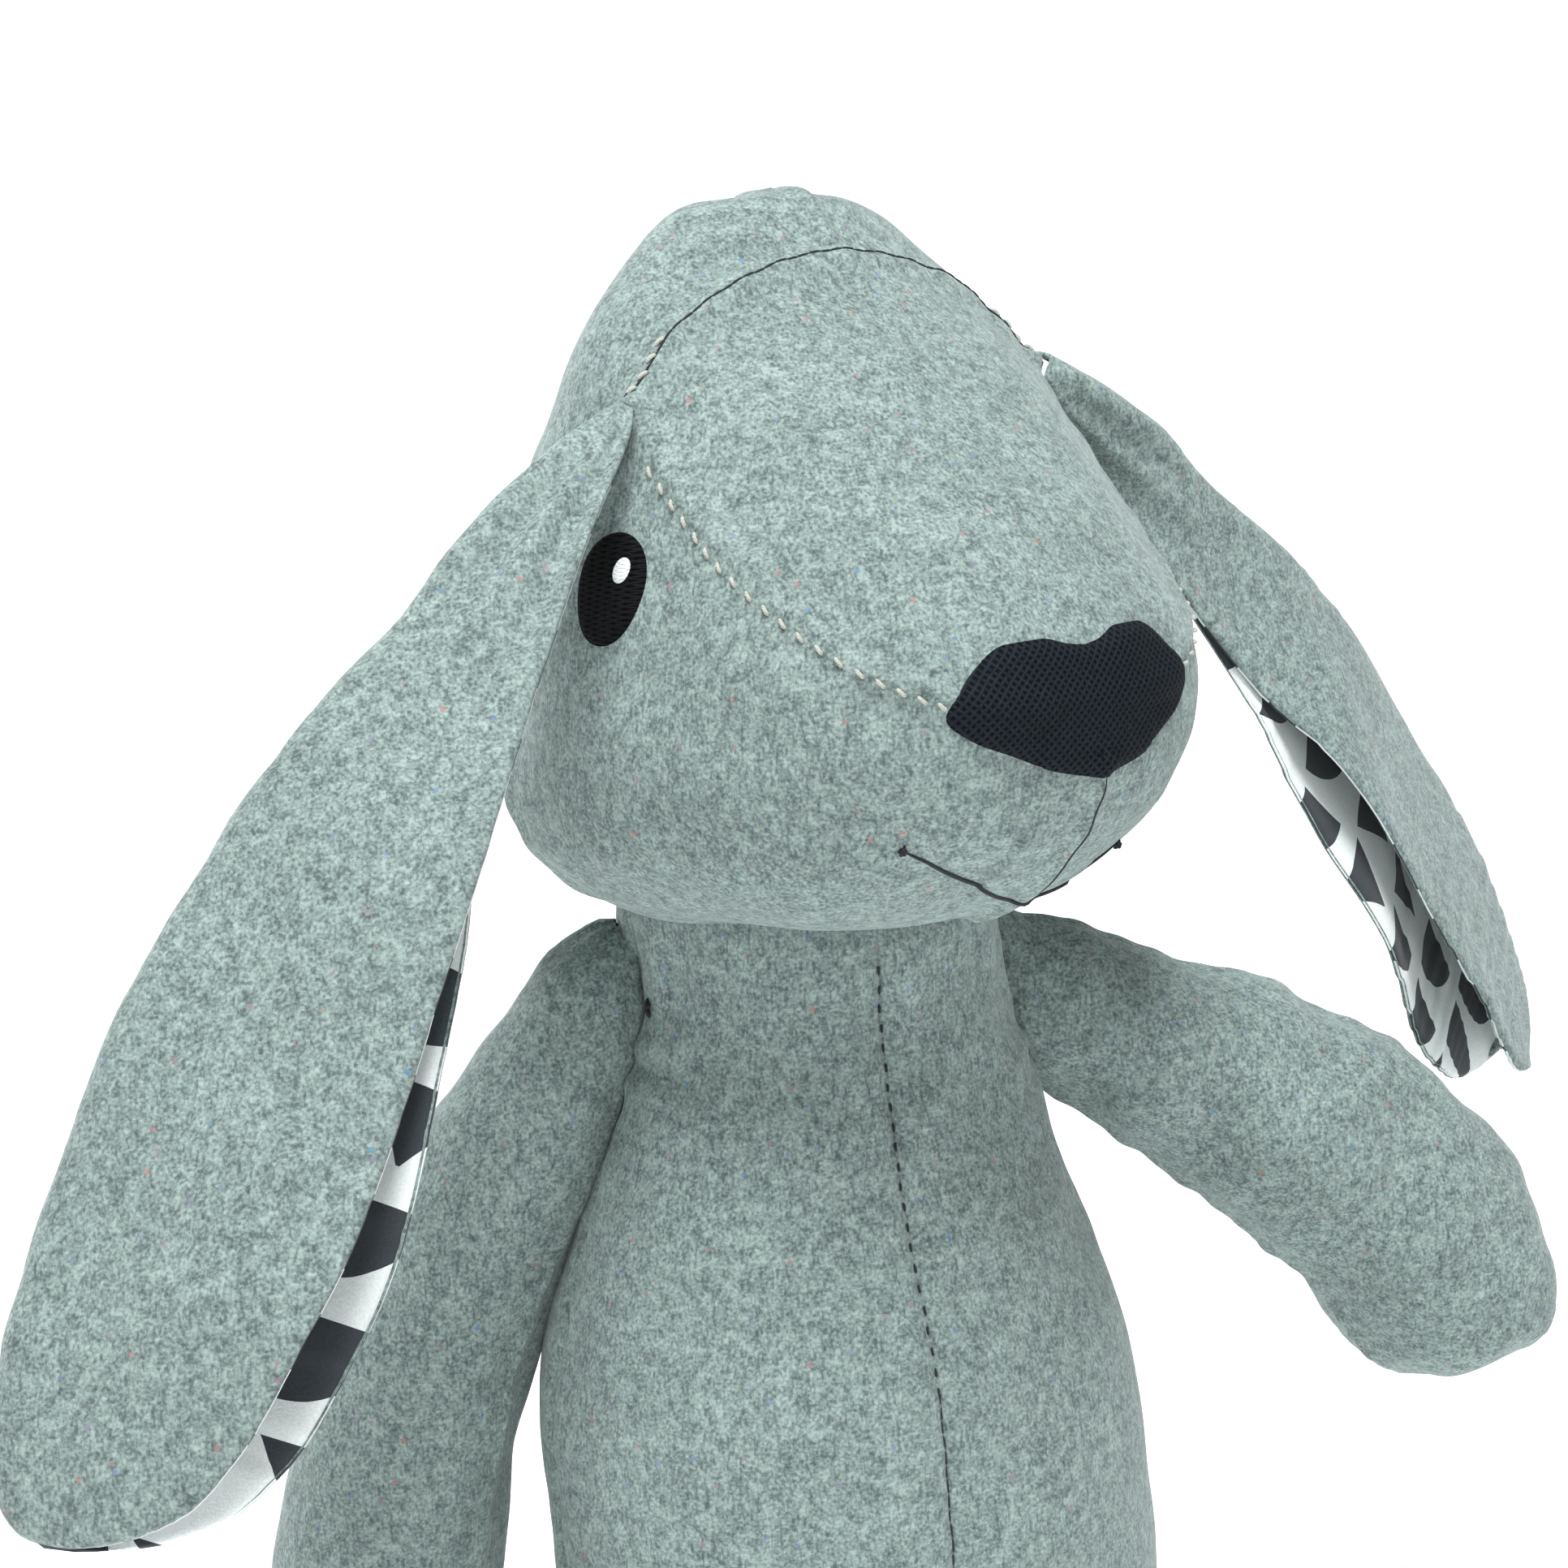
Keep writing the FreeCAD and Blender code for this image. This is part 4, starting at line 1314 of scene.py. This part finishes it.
@dataclass
class Ear:
    """A long ear folded along its length: felt outside, printed cotton inside."""

    wardrobe: Wardrobe
    side: Side
    path: LimbPath
    opening: Row
    outer: Row
    inner: Row
    seed: int
    knots: Row = (0, 0.1, 0.25, 0.5, 0.72, 0.86, 0.94, 0.985, 1.0)
    fold: Row = (2.4, 3.0, 4.0, 5.6, 6.2, 6.2, 5.5, 4.5, 3.0)
    bend: Row = (192, 194, 190, 182, 176, 174, 172, 170, 168)
    hang: float = 0.27
    rows: int = 120
    columns: int = 72

    def shares(self) -> Array:
        """Place of each row along the ear, closer together towards the tip."""
        run = np.linspace(0, 1, self.rows)
        return 0.4 * run + 0.6 * np.sin(run * math.pi / 2)

    def spans(self) -> Array:
        """Place of each point across the ear, from -1 at one edge to 1 at the other."""
        return np.tile(np.linspace(-1, 1, self.columns), self.rows)

    def middle_sheet(self) -> tuple[Array, Array, Array]:
        """Points, felt-side directions and flat map of the folded leaf."""
        share = self.shares()
        pick = np.clip((share * 799).astype(int), 0, 799)
        centre, tangent = (line[pick] for line in self.path.frames(800)[:2])
        turned = np.radians(eased(share, (0, 0.25, 0.5, 0.75, 1), self.opening))
        level = np.stack((np.cos(turned), np.sin(turned), np.zeros(self.rows)), axis=1)
        opening = unit(level - tangent * (tangent * level).sum(axis=1)[:, None])
        normal = unit(np.cross(opening, tangent))
        if (normal[0] @ self.facing()) < 0:
            normal = -normal
        outer = np.sqrt(eased(share, self.knots, np.array(self.outer) ** 2))
        inner = np.sqrt(eased(share, self.knots, np.array(self.inner) ** 2))
        fold = eased(share, self.knots, self.fold)
        bend = np.radians(eased(share, self.knots, self.bend))
        grid = np.empty((self.rows, self.columns, 3))
        felt = np.empty_like(grid)
        flat = np.empty((self.rows, self.columns, 2))
        for i in range(self.rows):
            across = np.linspace(-outer[i], inner[i], 241)
            reach = max(fold[i] * bend[i] / 2, 1.0)
            phase = np.clip(across / reach, -1, 1)
            angle = bend[i] / 2 * np.sin(phase * math.pi / 2)
            step = np.cos(angle)[:, None] * -normal[i] + np.sin(angle)[:, None] * opening[i]
            moves = (step[1:] + step[:-1]) / 2 * np.diff(across)[:, None]
            line = np.concatenate((np.zeros((1, 3)), np.cumsum(moves, axis=0)))
            apex = line[np.argmin(np.abs(across))]
            face = -np.cos(angle)[:, None] * opening[i] - np.sin(angle)[:, None] * normal[i]
            kept = np.linspace(0, 240, self.columns).astype(int)
            shift = centre[i] - apex - opening[i] * outer[i] * self.hang
            grid[i] = line[kept] + shift
            felt[i] = face[kept]
            flat[i, :, 0] = across[kept] * MM
            flat[i, :, 1] = share[i] * self.path.length * MM
        points, felt = grid.reshape(-1, 3), felt.reshape(-1, 3)
        span = self.spans()
        along = np.repeat(share, self.columns)
        waves = 1.3 * np.sin(along * 17 + self.seed) * np.abs(span) ** 2 * np.clip(along / 0.2, 0, 1)
        lumps = Lumps(self.seed, 42.0, 0.9).at(points) + Lumps(self.seed + 1, 15.0, 0.22).at(points)
        pleats = 0.9 * np.sin(span * 11) * np.exp(-(((along - 0.13) / 0.1) ** 2))
        return points + felt * (waves + lumps + pleats)[:, None], felt, flat.reshape(-1, 2)

    def facing(self) -> Array:
        """Level direction the felt of the outer wing looks along."""
        return plan_direction(-115.0 if self.side is Side.RIGHT else -41.0)

    def build(self) -> None:
        """Builds and dresses the ear."""
        points, felt, flat = self.middle_sheet()
        along = np.repeat(self.shares(), self.columns)
        rim = np.minimum((1 - np.abs(self.spans())) / 0.05, (1 - along) / 0.02)
        gap = 0.25 + 0.75 * np.sqrt(np.clip(rim, 0, 1))
        faces = grid_faces(self.rows, self.columns, False)
        word = self.side.word
        for layer, shift, slot, thickness in (("felt", 1.0, Slot.FELT, 0.85),
                                              ("lining", -1.0, Slot.PRINT, -0.5)):
            piece = new_piece(f"sewn_ear_{layer}_{word}", points + felt * (shift * gap)[:, None], faces)
            if normals_of(piece)[len(points) // 2] @ felt[len(points) // 2] < 0:
                piece.data.flip_normals()
            self.mapped(piece, flat)
            thickened(piece, thickness)
            self.wardrobe.dress(piece, slot)
            centre, _, _, _ = self.path.frames(100)
            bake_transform(piece)
            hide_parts(f"ear_{layer}_{word}")

    @staticmethod
    def mapped(piece: Piece, flat: Array) -> None:
        """Gives the sheet its flat map in metres."""
        layer = piece.data.uv_layers.new(name="cut")
        corners = np.empty(len(piece.data.loops), int)
        piece.data.loops.foreach_get("vertex_index", corners)
        layer.data.foreach_set("uv", (flat[corners] + (1.0, 0.0)).ravel())


# ------------------------------------------------------------------ studio


@dataclass(frozen=True)
class Studio:
    """Pale floor, soft light and the camera."""

    azimuth: float = -22.0
    elevation: float = 8.0
    roll: float = 4.4
    aim: Triple = (0.0, 0.0, 0.1894)
    offset: float = -0.0016
    distance: float = 0.70
    lens: float = 89.96

    def build(self) -> None:
        """Sets up the floor, world, lamps and camera."""
        size = 4.0
        corners = [(-size, -size, 0), (size, -size, 0), (size, size, 0), (-size, size, 0)]
        floor = new_piece("studio_floor", np.array(corners) / MM - (0, 0, 0.4), [(0, 1, 2, 3)])
        floor.data.materials.append(Paper("floor_paper", 0.45).material())
        corners = [(-3, 1.6, -0.1), (3, 1.6, -0.1), (3, 1.6, 3), (-3, 1.6, 3)]
        wall = new_piece("studio_wall", np.array(corners) / MM, [(0, 1, 2, 3)])
        wall.data.materials.append(Paper("wall_paper", 0.85).material())
        world = bpy.data.worlds.new("studio_sky")
        world.use_nodes = True
        world.node_tree.nodes["Background"].inputs["Color"].default_value = (1, 1, 1, 1)
        world.node_tree.nodes["Background"].inputs["Strength"].default_value = 0.2
        bpy.context.scene.world = world
        bpy.context.scene.view_settings.view_transform = "Standard"
        self.lamp("key", (-0.12, -0.45, 1.22), 19.0, 0.4)
        self.lamp("fill", (-0.7, -0.9, 0.6), 2.0, 0.5)
        self.camera()

    def lamp(self, name: str, place: Triple, power: float, size: float) -> None:
        """A soft square lamp that looks at the puppet."""
        data = bpy.data.lights.new(name, "AREA")
        data.energy = power
        data.size = size
        lamp = bpy.data.objects.new(name, data)
        lamp.location = place
        way = Vector(self.aim) - Vector(place)
        lamp.rotation_euler = way.to_track_quat("-Z", "Y").to_euler()
        bpy.context.scene.collection.objects.link(lamp)

    def camera(self) -> None:
        """The camera at the usual three-quarter view."""
        turn, rise, roll = (math.radians(v) for v in (self.azimuth, self.elevation, self.roll))
        right = Vector((math.cos(turn), math.sin(turn), 0))
        back = Vector((math.sin(turn) * math.cos(rise), -math.cos(turn) * math.cos(rise), math.sin(rise)))
        up = back.cross(right)
        x_axis = right * math.cos(roll) - up * math.sin(roll)
        y_axis = right * math.sin(roll) + up * math.cos(roll)
        spot = Vector(self.aim) + right * self.offset + back * self.distance
        data = bpy.data.cameras.new("camera")
        data.lens = self.lens
        data.sensor_width = 36.0
        camera = bpy.data.objects.new("camera", data)
        camera.matrix_world = Matrix.Translation(spot) @ Matrix((x_axis, y_axis, back)).transposed().to_4x4()
        bpy.context.scene.collection.objects.link(camera)
        bpy.context.scene.camera = camera


def arms(wardrobe: Wardrobe) -> tuple[Arm, Arm]:
    """The left and the right arm, each hanging in its own way."""
    left = Arm(
        wardrobe, Side.LEFT,
        LimbPath((31.0, 0.0, 151.5), azimuth=0.0, leans=(61, 62, 57, 51, 37, 6), length=144.0),
        across=(4, 10, 17.5, 20.0, 22.5, 24.0, 21.0, 11.0, 1.0),
        through=(11.5, 13.5, 16.0, 20.5, 23.0, 22.5, 20.0, 11.0, 1.0),
        seed=31)
    right = Arm(
        wardrobe, Side.RIGHT,
        LimbPath((-33.5, 6.0, 166.0), azimuth=156.0, leans=(26, 32, 29, 21, 15, 12), length=146.0,
                 roll=-32.0),
        across=(0.8, 11, 15.5, 18.5, 20.5, 21.5, 18.5, 10.0, 1.0),
        through=(0.8, 10, 15.0, 18.0, 19.5, 21.0, 18.0, 9.5, 1.0),
        seed=41)
    return left, right


def ears(wardrobe: Wardrobe, shape: HeadShape) -> tuple[Ear, Ear]:
    """The right and the left ear, sewn into the crown seam."""
    roots = {side: tuple(shape.placed(np.array([(side.value * 47.5, 5.5, 30.3)]))[0]) for side in Side}
    right = Ear(
        wardrobe, Side.RIGHT,
        LimbPath(roots[Side.RIGHT], azimuth=198.0, leans=(54, 51, 46, 41, 36, 32, 29, 27), length=206.0),
        opening=(-20, -24, -27, -27, -27),
        outer=(4, 15, 28, 46, 51, 45, 36, 20, 3),
        inner=(3, 8, 17, 46, 55, 50, 40, 22, 3),
        seed=51)
    left = Ear(
        wardrobe, Side.LEFT,
        LimbPath(roots[Side.LEFT], azimuth=20.0, leans=(54, 51, 48, 44, 39, 33, 28, 22), length=200.0),
        opening=(170, 201, 220, 227, 226),
        outer=(4, 13, 24, 41, 51, 48, 39, 22, 3),
        inner=(3, 8, 20, 46, 57, 51, 39, 20, 2),
        seed=61)
    return right, left


def main() -> None:
    """Builds the whole puppet in order."""
    logging.basicConfig(level=logging.INFO, format="%(message)s")
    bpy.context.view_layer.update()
    wardrobe = Wardrobe()
    head = Head(wardrobe)
    head.build()
    Sleeve(wardrobe).build()
    for limb in (*arms(wardrobe), *ears(wardrobe, head.shape)):
        limb.build()
    Studio().build()
    LOG.info("puppet finished")


if __name__ == "__main__":
    main()
